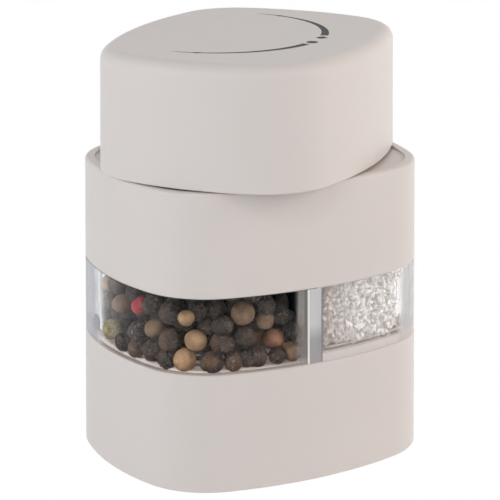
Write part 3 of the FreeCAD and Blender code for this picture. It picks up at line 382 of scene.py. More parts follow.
class Skin:
    """Rings, bands and flat plates that make up one closed mesh."""

    def __init__(self):
        self.bm = bmesh.new()

    def ring(self, points, height):
        """Corners at one height, from points seen from above."""
        return [self.bm.verts.new((x, y, height)) for x, y in points]

    def band(self, first, second):
        """Quads from one ring to the next, facing outwards when the second is above the first."""
        count = len(first)
        for i in range(count):
            j = (i + 1) % count
            face = self.bm.faces.new((first[i], first[j], second[j], second[i]))
            face.smooth = True

    def bands(self, rings, closed=False):
        """Bands from each ring to the next, and from the last to the first where closed."""
        for first, second in zip(rings, rings[1:]):
            self.band(first, second)
        if closed:
            self.band(rings[-1], rings[0])

    def plate(self, loops, upwards, finish=0):
        """Flat face inside the first loop and outside the others."""
        flat = [corner for loop in loops for corner in loop]
        for triangle in tessellate_polygon([[corner.co for corner in loop] for loop in loops]):
            corners = [flat[index] for index in triangle]
            a, b, c = (corner.co for corner in corners)
            if ((b - a).cross(c - a).z > 0) != upwards:
                corners.reverse()
            face = self.bm.faces.new(corners)
            face.material_index = finish
            face.smooth = True

    def tube(self, x, y, outer, inner, low, high, steps=40):
        """Upright tube, closed at both ends."""
        angles = [2 * math.pi * step / steps for step in range(steps)]
        outside, inside = ([(x + r * math.cos(a), y + r * math.sin(a)) for a in angles] for r in (outer, inner))
        self.bands([self.ring(inside, high), self.ring(inside, low), self.ring(outside, low),
                    self.ring(outside, high)], closed=True)

    def finish(self, name, materials, crease=30.0):
        """The finished piece, shaded smooth apart from edges sharper than the crease in degrees."""
        mesh = bpy.data.meshes.new(name)
        self.bm.to_mesh(mesh)
        self.bm.free()
        for material in materials:
            mesh.materials.append(material)
        mesh.set_sharp_from_angle(angle=math.radians(crease))
        return link(name, mesh)


def link(name, mesh):
    """A new object of the scene at the origin, with its mesh, lamp or camera."""
    piece = bpy.data.objects.new(name, mesh)
    bpy.context.scene.collection.objects.link(piece)
    return piece


def quarter(radius, steps):
    """Offsets along a quarter round, from flat to upright: how far in from the side, how far up."""
    turns = [math.pi / 2 * step / steps for step in range(steps + 1)]
    return [(radius * (1 - math.sin(turn)), radius * (1 - math.cos(turn))) for turn in turns]


def smooth_copy(node, name, material):
    """A CAD node's mesh with its corners merged and its round faces shaded smooth."""
    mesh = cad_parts[node].data.copy()
    mesh.name = name
    bm = bmesh.new()
    bm.from_mesh(mesh)
    bmesh.ops.remove_doubles(bm, verts=bm.verts, dist=MERGE_DISTANCE)
    for face in bm.faces:
        face.smooth = True
        face.material_index = 0
    bm.to_mesh(mesh)
    bm.free()
    mesh.materials.clear()
    mesh.materials.append(material)
    mesh.set_sharp_from_angle(angle=math.radians(COPY_CREASE))
    piece = link(name, mesh)
    weighted = piece.modifiers.new("even shading", "WEIGHTED_NORMAL")
    weighted.keep_sharp = True
    weighted.weight = 100
    return piece


# Materials


class Graph:
    """The nodes and links of one material, world or node group, and short ways to add to them."""

    def __init__(self, tree):
        self.nodes = tree.nodes
        self.links = tree.links

    def join(self, given, socket):
        """Links a node's output to the socket or writes a value there; a colour comes without its alpha."""
        if isinstance(given, bpy.types.NodeSocket):
            self.links.new(given, socket)
        elif socket.type == "RGBA":
            socket.default_value = (*given, 1.0)
        else:
            socket.default_value = given

    def add(self, kind, settings=None, **inputs):
        """A new node with its settings and its inputs, whose names have _ for a space."""
        node = self.nodes.new(kind)
        for name, setting in (settings or {}).items():
            setattr(node, name, setting)
        for name, given in inputs.items():
            wanted = name.replace("_", " ")
            self.join(given, next(socket for socket in node.inputs if socket.enabled and socket.name == wanted))
        return node

    def math(self, operation, first, *others):
        """The operation on a value alone, or on two and then on what comes out and each further one."""
        for other in others or (0.0,):
            node = self.add("ShaderNodeMath", {"operation": operation})
            self.join(first, node.inputs[0])
            self.join(other, node.inputs[1])
            first = node.outputs[0]
        return first

    def vector(self, operation, first, second=None, scale=None):
        """The operation on one vector, with a second one or a scale where it takes them."""
        node = self.add("ShaderNodeVectorMath", {"operation": operation})
        self.join(first, node.inputs[0])
        if second is not None:
            self.join(second, node.inputs[1])
        if scale is not None:
            self.join(scale, node.inputs["Scale"])
        return node.outputs["Vector"]

    def fade(self, value, start, end, low=0.0, high=1.0):
        """A number that runs from low to high while the value runs from start to end."""
        return self.add("ShaderNodeMapRange", Value=value, From_Min=start, From_Max=end, To_Min=low,
                        To_Max=high).outputs["Result"]

    def seen(self):
        """1 where the camera, a gloss or clear plastic looks, and 0 for the light that falls on the mill."""
        rays = self.nodes.new("ShaderNodeLightPath").outputs
        return self.math("MAXIMUM", rays["Is Glossy Ray"], rays["Is Transmission Ray"], rays["Is Camera Ray"])

    def mix(self, factor, first, second, surface):
        """Leads a mix of two shaders to the output's surface."""
        node = self.nodes.new("ShaderNodeMixShader")
        for source, socket in zip((factor, first, second), node.inputs):
            self.links.new(source, socket)
        self.links.new(node.outputs["Shader"], surface)


class Finish(Graph):
    """One material with its main shader, patterned on the mill's own coordinates."""

    def __init__(self, name):
        self.material = bpy.data.materials.new(name)
        self.material.use_nodes = True
        super().__init__(self.material.node_tree)
        self.nodes.clear()
        self.surface = self.nodes.new("ShaderNodeOutputMaterial").inputs["Surface"]
        self.shader = self.nodes.new("ShaderNodeBsdfPrincipled")
        self.links.new(self.shader.outputs["BSDF"], self.surface)
        self.place = self.nodes.new("ShaderNodeTexCoord").outputs["Object"]

    def set(self, **sockets):
        """Writes or links the main shader's sockets."""
        for name, given in sockets.items():
            self.join(given, self.shader.inputs[name.replace("_", " ")])

    def axes(self):
        """How far right, how far back and how high a point lies."""
        return tuple(self.add("ShaderNodeSeparateXYZ", Vector=self.place).outputs)

    def attribute(self, name):
        """The piece's own number of that name."""
        return self.add("ShaderNodeAttribute", {"attribute_name": name}).outputs["Fac"]

    def noise(self, scale, detail=3.0, roughness=0.5, place=None, warp=0.0):
        """Soft noise from 0 to 1 on the mill's own coordinates, or on others that are given."""
        return self.add("ShaderNodeTexNoise", Vector=self.place if place is None else place, Scale=scale,
                        Detail=detail, Roughness=roughness, Distortion=warp).outputs["Fac"]

    def streaks(self, scale, detail):
        """Noise drawn out along the height."""
        drawn = self.add("ShaderNodeMapping", Vector=self.place, Scale=scale).outputs["Vector"]
        return self.noise(1.0, detail=detail, roughness=0.6, place=drawn)

    def between(self, factor, low, high):
        """A number that runs from low to high with the factor."""
        return self.fade(factor, 0.0, 1.0, low, high)

    def blend(self, factor, first, second, mode="MIX"):
        """A colour that runs from the first to the second with the factor."""
        node = self.add("ShaderNodeMix", {"data_type": "RGBA", "blend_type": mode})
        for given, index in ((factor, 0), (first, 6), (second, 7)):
            self.join(given, node.inputs[index])
        return node.outputs[2]

    def ramp(self, factor, stops, interpolation="LINEAR"):
        """Colours at their places along the factor."""
        node = self.add("ShaderNodeValToRGB", Fac=factor)
        node.color_ramp.interpolation = interpolation
        elements = node.color_ramp.elements
        while len(elements) < len(stops):
            elements.new(0.5)
        for element, (position, tone) in zip(elements, stops):
            element.position = position
            element.color = (*tone, 1.0)
        return node.outputs["Color"]

    def bump(self, height, distance, strength=1.0, **under):
        """Relief of that height, on top of another one where it is given as Normal."""
        return self.add("ShaderNodeBump", Height=height, Distance=distance, Strength=strength,
                        **under).outputs["Normal"]

    def pass_lamps(self, tint):
        """Lets the lamps' light through to what lies behind the clear surface."""
        shadow = self.nodes.new("ShaderNodeLightPath").outputs["Is Shadow Ray"]
        open_way = self.add("ShaderNodeBsdfTransparent", Color=tint).outputs["BSDF"]
        self.mix(shadow, self.shader.outputs["BSDF"], open_way, self.surface)


def shade(tone, factor):
    """The tone made darker, or a little paler, by a factor."""
    return tuple(channel * factor for channel in tone)


def satin_plastic(tone, roughness):
    """Moulded satin plastic: faint clouding in its colour, a fine spark-eroded grain and a few fine rubs."""
    finish = Finish("satin_plastic")
    cloud = finish.noise(70.0, detail=2.0)
    grain = finish.noise(5200.0, detail=2.0)
    sheen = finish.between(finish.noise(240.0), roughness - 0.04, roughness + 0.04)
    rubs = finish.between(finish.streaks((900.0, 900.0, 60.0), detail=2.0), -0.04, 0.04)
    finish.set(Base_Color=finish.blend(cloud, shade(tone, 0.985), shade(tone, 1.012)),
               Roughness=finish.math("ADD", sheen, rubs), Normal=finish.bump(grain, 0.012 * MM, 0.5),
               IOR=1.46, Subsurface_Weight=0.04, Subsurface_Scale=2.0 * MM)
    return finish.material


def printed_ink(tone):
    """Thin print on the satin plastic, a little uneven where it was pressed."""
    finish = Finish("printed_ink")
    patch = finish.noise(1400.0, detail=4.0)
    finish.set(Base_Color=finish.blend(patch, shade(tone, 0.8), shade(tone, 1.25)),
               Roughness=finish.between(patch, 0.5, 0.62), Specular_IOR_Level=0.2)
    return finish.material


def clear_plastic(tone, left_end_shade, right_end_shade, front, haze_shade, ledge):
    """Clear moulded plastic, slightly wavy: painted shade at its ends, the divider's milky front, painted shade as a
    haze beside it and the casing's tone painted as light under the salt.
    """
    finish = Finish("clear_plastic")
    across, deep, height = finish.axes()
    outermost = finish.math("GREATER_THAN", finish.math("ABSOLUTE", deep), PLATE_DEPTH)

    # Painted shade: grey where the light comes in and the wall is seen along, a little sooner at the right end
    facing = finish.add("ShaderNodeLayerWeight", Blend=0.5).outputs["Facing"]
    side = finish.fade(across, -WINDOW_REACH, WINDOW_REACH)
    reached = finish.math("ADD", facing, finish.math("MULTIPLY", side, ALONG_LEAD))
    leaving = finish.nodes.new("ShaderNodeNewGeometry").outputs["Backfacing"]
    along = finish.math("MULTIPLY", finish.fade(reached, *ALONG_SPAN), finish.math("SUBTRACT", 1.0, leaving))

    # Milky front of the divider, with painted shade that darkens it low down and along its right edge, and clear along
    # its left one
    from_middle = finish.math("ABSOLUTE", finish.math("SUBTRACT", across, PLATE_MIDDLE))
    plate = finish.math("MULTIPLY", finish.math("LESS_THAN", from_middle, PLATE_HALF), outermost)
    milky = finish.blend(finish.fade(height, *PLATE_FADE), shade(front, 0.6), shade(front, 0.98))
    right_edge_shade = finish.math("GREATER_THAN", across, PLATE_MIDDLE + PLATE_HALF - PLATE_SHADE_EDGE)
    left_edge = finish.math("LESS_THAN", across, PLATE_MIDDLE - PLATE_HALF + PLATE_CLEAR_EDGE)
    milky = finish.blend(right_edge_shade, milky, shade(front, 0.4))
    milky = finish.blend(left_edge, milky, tone)

    # Brownish haze of painted shade beside the divider on the pepper's side, and the casing's tone painted as light on
    # the ledge under the salt
    beside = finish.math("LESS_THAN", across, PLATE_MIDDLE)
    haze = finish.math("MULTIPLY", finish.fade(across, *HAZE_SPAN, high=HAZE_MOST), beside, outermost)
    past = finish.math("GREATER_THAN", across, PLATE_MIDDLE + PLATE_HALF)
    ledge_light = finish.math("MULTIPLY", finish.fade(height, *LEDGE_FADE, low=LEDGE_MOST, high=0.0), past)

    # Painted shade at the window's ends
    body = finish.blend(along, tone, finish.blend(side, left_end_shade, right_end_shade))
    # Painted shade: brownish haze beside the divider
    body = finish.blend(finish.math("MULTIPLY", haze, 1.6), body, haze_shade)
    # Painted light: the casing's tone on the ledge under the salt
    body = finish.blend(ledge_light, body, ledge)
    dim = finish.math("MAXIMUM", finish.math("MULTIPLY", plate, 0.9), finish.math("MULTIPLY", along, 0.8), haze, ledge_light)
    polish = finish.between(finish.noise(700.0, detail=2.0), 0.0, 0.03)
    finish.set(Base_Color=finish.blend(plate, body, milky),
               Roughness=finish.math("ADD", polish, finish.math("MULTIPLY", plate, 0.35)),
               Transmission_Weight=finish.math("SUBTRACT", 1.0, dim),
               Normal=finish.bump(finish.noise(120.0, detail=2.0), 0.04 * MM, 0.2), IOR=1.16)
    finish.pass_lamps(shade(WHITE, 0.96))
    return finish.material


def frosted_plastic(tone, warm, painted_light_tone):
    """Draft faces of the clear moulding, frosted by the tool: warm over the casing, painted shade beside the pepper.

    A faint glow stands in for the light under them. Raised faces lose most of it, and those beside the pepper, painted
    darker as shade, more than all.
    """
    finish = Finish("frosted_plastic")
    across, _, height = finish.axes()
    raised = finish.math("GREATER_THAN", height, FROST_RAISED)
    beside = finish.math("LESS_THAN", across, FROST_SHADE_EDGE)
    body = finish.blend(raised, warm, tone)
    # Painted shade on the raised faces beside the pepper
    body = finish.blend(finish.math("MULTIPLY", raised, beside), body, painted_light_tone)
    loss = finish.math("MULTIPLY", raised, finish.math("ADD", FROST_GLOW_LOSS, beside))
    glow = finish.math("MULTIPLY", finish.math("SUBTRACT", 1.0, loss), FROST_GLOW)
    finish.set(Base_Color=body, Emission_Color=body, Emission_Strength=glow,
               Roughness=finish.between(finish.noise(900.0), 0.35, 0.55), Transmission_Weight=0.3, IOR=1.16)
    finish.pass_lamps(shade(WHITE, 0.7))
    return finish.material


def mechanism_plastic(tone):
    """Plain natural plastic of the parts inside, with flow clouds and a dull sheen."""
    finish = Finish("mechanism_plastic")
    cloud = finish.noise(180.0, detail=4.0)
    finish.set(Base_Color=finish.blend(cloud, shade(tone, 0.95), shade(tone, 1.02)),
               Roughness=finish.between(cloud, 0.44, 0.58),
               Normal=finish.bump(finish.noise(3000.0), 0.02 * MM, 0.4))
    return finish.material


def drawn_steel(tone):
    """Bright drawn steel with fine lines along its length."""
    finish = Finish("drawn_steel")
    lines = finish.streaks((9000.0, 9000.0, 260.0), detail=3.0)
    finish.set(Base_Color=finish.blend(lines, shade(tone, 0.82), tone), Metallic=1.0,
               Roughness=finish.between(lines, 0.2, 0.38), Normal=finish.bump(lines, 0.01 * MM, 0.5))
    return finish.material


def fired_ceramic(tone):
    """Fired ceramic: matt, faintly grainy, with painted shade that makes it a little darker in its pores."""
    finish = Finish("fired_ceramic")
    grain = finish.noise(4200.0, detail=4.0)
    # Painted shade in the pores
    pores = finish.add("ShaderNodeTexVoronoi", Vector=finish.place, Scale=2600.0).outputs["Distance"]
    finish.set(Base_Color=finish.blend(pores, shade(tone, 0.86), tone), Roughness=finish.between(grain, 0.4, 0.6),
               Normal=finish.bump(grain, 0.02 * MM, 0.5))
    return finish.material


def pepper_skin(tones):
    """Dried corns: folded dark skins with painted highlights along their ridges, and a few smooth pale ones."""
    finish = Finish("pepper_skin")
    stops = [(number / len(tones), tone) for number, tone in enumerate(tones)]
    skin = finish.ramp(finish.attribute("corn_kind"), stops, "CONSTANT")
    lines = []
    for shift in FOLD_SHIFTS:
        moved = finish.vector("ADD", finish.place, shift)
        field = finish.noise(FOLD_SCALE, detail=1.5, place=moved, warp=FOLD_WARP)
        off = finish.math("ABSOLUTE", finish.math("SUBTRACT", field, 0.5))
        lines.append(finish.fade(off, 0.0, FOLD_WIDTH, low=1.0, high=0.0))
    ridge = finish.math("MULTIPLY", finish.math("MAXIMUM", *lines), finish.attribute("corn_fold"))
    # Painted highlight: the fold ridges lighter and greyer
    painted_light_tone = finish.blend(0.75, skin, (0.50, 0.41, 0.345))
    body = finish.blend(finish.math("MULTIPLY", ridge, 0.85), skin, painted_light_tone)

    # Darker patches all over, and brown stains here and there
    blotch = finish.noise(420.0, detail=4.0, roughness=0.6)
    patches = finish.ramp(blotch, [(0.36, (0.42, 0.38, 0.37)), (0.58, (1.0, 0.98, 0.96))])
    body = finish.blend(0.65, body, patches, "MULTIPLY")
    stain = finish.fade(finish.noise(230.0), 0.53, 0.64, high=0.5)
    body = finish.blend(stain, body, (0.17, 0.095, 0.055))

    folds = finish.bump(ridge, 0.35 * MM)
    fine = finish.noise(2600.0, detail=4.0, roughness=0.65)
    finish.set(Base_Color=body, Roughness=finish.between(blotch, 0.5, 0.75),
               Normal=finish.bump(fine, 0.04 * MM, 0.6, Normal=folds), Specular_IOR_Level=0.3)
    return finish.material


def salt_grain(tone):
    """Coarse salt: milky crystals with painted shade that makes them a little darker and warmer beside the divider,
    and a faint glow as painted light.
    """
    finish = Finish("salt_grain")
    across, _, _ = finish.axes()
    milk = finish.noise(520.0, detail=4.0, roughness=0.6)
    # Painted shade: darker and warmer towards the divider
    warm = tuple(channel * part for channel, part in zip(tone, SALT_SHADE))
    painted_shading = finish.blend(finish.fade(across, *SALT_SHADE_SPAN), warm, tone)
    body = finish.blend(1.0, painted_shading, finish.blend(milk, shade(WHITE, 0.96), WHITE), "MULTIPLY")
    # Painted light: a faint glow of the salt's own colour stands in for light scattered among the crystals
    finish.set(Base_Color=body, Emission_Color=body, Emission_Strength=0.24,
               Roughness=finish.between(milk, 0.45, 0.65), IOR=1.3, Specular_IOR_Level=0.3,
               Subsurface_Weight=0.9, Subsurface_Radius=WHITE, Subsurface_Scale=2.4 * MM,
               Normal=finish.bump(finish.noise(1500.0), 0.03 * MM, 0.3))
    return finish.material


def studio_floor():
    """Pale floor that fades to white and keeps a little of the shadow."""
    finish = Finish("studio_floor")
    finish.set(Base_Color=finish.blend(finish.noise(3.0), shade(WHITE, 0.9), shade(WHITE, 0.92)), Roughness=0.9)
    white = finish.add("ShaderNodeEmission", Color=WHITE, Strength=1.0).outputs["Emission"]
    finish.mix(finish.math("MULTIPLY", finish.seen(), FLOOR_WHITE), finish.shader.outputs["BSDF"], white,
               finish.surface)
    return finish.material


def shared(name, make, *given):
    """The material of that name, made the first time it is asked for."""
    return bpy.data.materials.get(name) or make(*given)


def casing_plastic(scene):
    """The satin plastic that both casings and the cap share."""
    return shared("satin_plastic", satin_plastic, tuple(scene.mill_finish.shell), scene.mill_finish.shell_roughness)


# Geometry node trees


class Tree(Graph):
    """A geometry node tree with named inputs, built step by step."""

    def __init__(self, name, inputs):
        self.group = bpy.data.node_groups.new(name, "GeometryNodeTree")
        super().__init__(self.group)
        self.group.is_modifier = True
        self.sockets = {}
        face = self.group.interface
        face.new_socket("Geometry", in_out="INPUT", socket_type="NodeSocketGeometry")
        for label, kind, default in inputs:
            socket = face.new_socket(label, in_out="INPUT", socket_type=kind)
            socket.default_value = default
            self.sockets[label] = socket.identifier
        face.new_socket("Geometry", in_out="OUTPUT", socket_type="NodeSocketGeometry")
        self.start = self.nodes.new("NodeGroupInput")
        self.end = self.nodes.new("NodeGroupOutput")

    def attribute(self, name):
        """The points' own number of that name."""
        return self.add("GeometryNodeInputNamedAttribute", {"data_type": "FLOAT"}, Name=name).outputs["Attribute"]

    def random(self, kind, low, high, seed):
        """A random value for each point."""
        node = self.add("FunctionNodeRandomValue", {"data_type": kind}, Min=low, Max=high, Seed=seed)
        return next(socket for socket in node.outputs if socket.enabled)

    def close(self, geometry, material):
        """Ends the tree with its instances made real, shaded smooth and given their material."""
        smooth = self.add("GeometryNodeSetShadeSmooth", Geometry=geometry)
        finished = self.add("GeometryNodeSetMaterial", Geometry=smooth.outputs["Geometry"], Material=material)
        self.links.new(finished.outputs["Geometry"], self.end.inputs["Geometry"])


def grown(points, tree, values, name):
    """The tree's result on the points, as a plain mesh."""
    carrier = link(name + "_points", points)
    modifier = carrier.modifiers.new("grow", "NODES")
    modifier.node_group = tree.group
    for label, number in values.items():
        modifier[tree.sockets[label]] = number
    shown = bpy.context.evaluated_depsgraph_get()
    mesh = bpy.data.meshes.new_from_object(carrier.evaluated_get(shown), preserve_all_data_layers=True,
                                           depsgraph=shown)
    mesh.name = name
    carrier.modifiers.remove(modifier)
    bpy.data.objects.remove(carrier)
    bpy.data.meshes.remove(points)
    return link(name, mesh)


def corn_tree(material):
    """Peppercorns on points: a round seed, dented and folded more where the point says so."""
    tree = Tree("peppercorns", [
        ("Wrinkle Depth", "NodeSocketFloat", 0.3 * MM),
        ("Seed", "NodeSocketInt", 7),
    ])
    points, depth, seed = (tree.start.outputs[name] for name in ("Geometry", "Wrinkle Depth", "Seed"))
    turn = tree.random("FLOAT_VECTOR", (0.0, 0.0, 0.0), FULL_TURN, seed)
    least, most = ((part, part, part) for part in SQUASH)
    squash = tree.random("FLOAT_VECTOR", least, most, tree.math("ADD", seed, 3))
    size = tree.vector("SCALE", squash, scale=tree.attribute("corn_radius"))

    # The corns that the window shows have finer seeds
    fine = tree.attribute("corn_fine")
    both = tree.add("GeometryNodeJoinGeometry")
    for comparison, level in (("GREATER_THAN", 4), ("LESS_THAN", 2)):
        round_seed = tree.add("GeometryNodeMeshIcoSphere", Radius=1.0, Subdivisions=level)
        placed = tree.add("GeometryNodeInstanceOnPoints", Points=points, Instance=round_seed.outputs["Mesh"],
                          Selection=tree.math(comparison, fine, 0.5), Rotation=turn, Scale=size)
        tree.links.new(placed.outputs["Instances"], both.inputs[0])
    real = tree.add("GeometryNodeRealizeInstances", Geometry=both.outputs[0])

    # Folds stand out along thin lines of a noise field, and dents go in where another one is low
    place = tree.add("GeometryNodeInputPosition").outputs[0]
    fold = tree.attribute("corn_fold")
    lines = []
    for shift in FOLD_SHIFTS:
        field = tree.add("ShaderNodeTexNoise", Vector=tree.vector("ADD", place, shift), Scale=FOLD_SCALE,
                         Detail=1.5, Roughness=0.5, Distortion=FOLD_WARP)
        off = tree.math("ABSOLUTE", tree.math("SUBTRACT", field.outputs["Fac"], 0.5))
        lines.append(tree.math("SUBTRACT", 2 * FOLD_WIDTH, tree.math("MINIMUM", off, 2 * FOLD_WIDTH)))
    lift = tree.math("MULTIPLY", tree.math("MAXIMUM", *lines), RIDGE_LIFT / FOLD_WIDTH, fold)
    dents = tree.add("ShaderNodeTexNoise", Vector=place, Scale=DENT_SCALE, Detail=1.0, Roughness=0.5)
    dent = tree.math("MULTIPLY", tree.math("SUBTRACT", dents.outputs["Fac"], DENT_LEVEL),
                     tree.math("MULTIPLY", tree.math("ADD", fold, DENT_LEAST), DENT_DEPTH))
    amount = tree.math("MULTIPLY", tree.math("ADD", lift, dent), depth)
    outward = tree.add("GeometryNodeInputNormal").outputs[0]
    shaped = tree.add("GeometryNodeSetPosition", Geometry=real.outputs["Geometry"],
                      Offset=tree.vector("SCALE", outward, scale=amount))
    tree.close(shaped.outputs["Geometry"], material)
    return tree


def crystal_tree(material, kinds=6, corners=12):
    """Salt crystals on points: a few kinds of chipped block, each the hull of a handful of corners."""
    tree = Tree("salt_crystals", [("Seed", "NodeSocketInt", 7)])
    seed = tree.start.outputs["Seed"]
    store = tree.add("GeometryNodeGeometryToInstance")
    for kind in range(kinds):
        half = (0.52, 0.44 + 0.02 * kind, 0.42)
        corner = tree.random("FLOAT_VECTOR", tuple(-h for h in half), half, tree.math("ADD", seed, 11 * kind))
        outmost = tree.vector("MULTIPLY", tree.vector("SIGN", corner), tuple(CORNER_REACH * h for h in half))
        place = tree.vector("ADD", tree.vector("SCALE", corner, scale=CORNER_PLAY), outmost)
        points = tree.add("GeometryNodePoints", Count=corners, Position=place)
        hull = tree.add("GeometryNodeConvexHull", Geometry=points.outputs["Points"])
        tree.links.new(hull.outputs["Convex Hull"], store.inputs[0])
    turn = tree.random("FLOAT_VECTOR", (0.0, 0.0, 0.0), FULL_TURN, seed)
    pick = tree.random("INT", 0, kinds - 1, tree.math("ADD", seed, 5))
    placed = tree.add("GeometryNodeInstanceOnPoints", Points=tree.start.outputs["Geometry"],
                      Instance=store.outputs["Instances"], Pick_Instance=True, Instance_Index=pick,
                      Rotation=turn, Scale=tree.attribute("grain_size"))
    real = tree.add("GeometryNodeRealizeInstances", Geometry=placed.outputs["Instances"])
    tree.close(real.outputs["Geometry"], material)
    return tree


# Spices


# Corns that the window shows: across and down in the picture, radius in mm, kind, and how far behind the wall in mm
SHOWN_CORNS = (
    (112.0, 283.0, 2.2, "tan", 0.2),
    (121.0, 284.0, 2.3, "black", 1.6),
    (112.5, 299.5, 2.1, "umber", 0.6),
    (126.0, 302.9, 2.3, "dull", 0.1),
    (138.0, 292.0, 2.3, "black", 2.0),
    (143.5, 305.5, 2.2, "red", 0.3),
    (155.0, 304.3, 2.4, "dusky", 1.6),
    (172.0, 312.5, 2.7, "dusky", 0.4),
    (186.8, 317.5, 1.9, "tan", 1.8),
    (197.5, 311.0, 2.4, "black", 2.6),
    (215.7, 309.5, 2.5, "black", 2.4),
    (106.5, 320.4, 2.2, "dusky", 0.2),
    (117.5, 328.2, 2.3, "olive", 0.0),
    (128.0, 325.0, 2.3, "black", 0.9),
    (143.0, 330.5, 2.6, "dusky", 0.3),
    (157.0, 328.5, 2.4, "dull", 1.8),
    (172.2, 340.1, 2.8, "brown", 0.0),
    (196.0, 340.4, 2.45, "tan", 0.0),
    (140.0, 347.5, 2.2, "umber", 0.2),
    (155.5, 349.8, 2.3, "brown", 0.0),
    (168.5, 357.5, 2.2, "black", 1.2),
    (185.4, 359.3, 2.55, "tan", 0.0),
    (127.5, 341.2, 2.2, "dusky", 0.6),
    (242.3, 313.1, 2.75, "dull", 0.5),
    (264.2, 320.0, 2.2, "dull", 0.9),
    (264.5, 305.0, 2.4, "black", 1.2),
    (278.0, 314.0, 2.5, "black", 0.4),
    (222.4, 325.0, 2.3, "dusky", 2.2),
    (207.5, 326.5, 2.2, "brown", 2.8),
    (243.9, 336.0, 2.6, "brown", 0.6),
    (222.4, 343.2, 2.8, "brown", 0.0),
    (272.9, 339.7, 2.45, "rosy", 0.0),
    (212.0, 361.4, 2.55, "dusky", 0.0),
    (232.6, 361.0, 2.15, "umber", 0.2),
    (255.5, 355.6, 2.55, "brown", 0.0),
    (245.0, 357.0, 2.0, "black", 2.4),
    (287.5, 319.5, 2.0, "dusky", 0.5),
    (293.5, 329.5, 2.1, "black", 0.4),
    (286.5, 333.0, 2.3, "dusky", 1.6),
    (299.0, 339.5, 1.8, "umber", 0.3),
    (291.0, 350.5, 2.3, "dull", 0.6),
    (301.5, 350.0, 1.6, "umber", 0.8),
    (276.0, 355.0, 2.0, "dusky", 1.6),
    (283.0, 303.0, 2.2, "umber", 1.2),
)


def chamber_floor(x, y, margin):
    """Height of the lowest place for the middle of a grain over each point: the floor, or down the hopper."""
    aside = np.hypot(np.abs(x) - HOPPER_X, y)
    slope = (CHAMBER_FLOOR - HOPPER_FOOT) / (HOPPER_MOUTH - HOPPER_OUTLET)
    drop = np.clip((HOPPER_MOUTH - margin * HOPPER_SHARE - aside) * slope, 0.0, CHAMBER_FLOOR - HOPPER_FOOT)
    return CHAMBER_FLOOR - drop + margin


def heap_surface(x, spices, sloped):
    """Height of the filling over each point."""
    level = np.full_like(x, spices.heap_top)
    return np.minimum(level, spices.heap_foot + np.abs(x)) if sloped else level


def keep_inside(place, radius, sizes, spices, shape):
    """Moves corns back between the pepper chamber's walls, its floor and the top of the heap."""
    x, y = place[:, 0], place[:, 1]
    for _ in range(2):
        here = shape.depth(x, y, sizes.chamber_inset)
        slope_x = (shape.depth(x + SLOPE_STEP, y, sizes.chamber_inset) - here) / SLOPE_STEP
        slope_y = (shape.depth(x, y + SLOPE_STEP, sizes.chamber_inset) - here) / SLOPE_STEP
        push = np.maximum(radius - here, 0.0)
        x += slope_x * push
        y += slope_y * push
    x[:] = np.minimum(x, -sizes.divider - radius)
    from_tube = np.hypot(x, y)
    push = np.maximum(TUBE_RADIUS + radius - from_tube, 0.0)
    x += x / from_tube * push
    y += y / from_tube * push
    top = heap_surface(x, spices, True) - radius
    floor = chamber_floor(x, y, radius)
    place[:, 2] = np.maximum(np.minimum(place[:, 2], top), floor)


def camera_axes(stage):
    """The camera's directions back from what it looks at, and to its right."""
    reach = math.cos(stage.elevation)
    back = (math.sin(stage.azimuth) * reach, -math.cos(stage.azimuth) * reach, math.sin(stage.elevation))
    return back, (math.cos(stage.azimuth), math.sin(stage.azimuth), 0.0)


def sight_lines(stage, across, down):
    """The camera's place and, for points of the picture, the directions it sees them in."""
    back, right = (np.array(axis) for axis in camera_axes(stage))
    above = np.cross(back, right)
    camera = np.array([0.0, 0.0, stage.aim]) + right * CAMERA_ASIDE + back * stage.distance
    scale = SENSOR / stage.lens / PICTURE
    half = PICTURE / 2
    lines = -back + np.outer((across - half) * scale, right) + np.outer((half - down) * scale, above)
    return camera, lines / np.linalg.norm(lines, axis=1)[:, None]


def shown_corns(sizes, stage):
    """Camera, sight lines, places, radii and kinds of the corns that the window shows."""
    table = np.array([row[:3] + row[4:] for row in SHOWN_CORNS])
    across, down, radius, behind = table.T
    radius, behind = radius * MM, behind * MM
    camera, lines = sight_lines(stage, across, down)
    shape = Outline(sizes)
    reach = np.full(len(lines), stage.distance - sizes.body_length)
    for _ in range(SEARCH_STEPS):
        place = camera + lines * reach[:, None]
        short = shape.depth(place[:, 0], place[:, 1], sizes.chamber_inset) < radius + behind
        reach += np.where(short, SEARCH_STEP, 0.0)
    kinds = [(KINDS.index(row[3]) + 0.5) / len(KINDS) for row in SHOWN_CORNS]
    return camera, lines, place, radius, np.array(kinds)


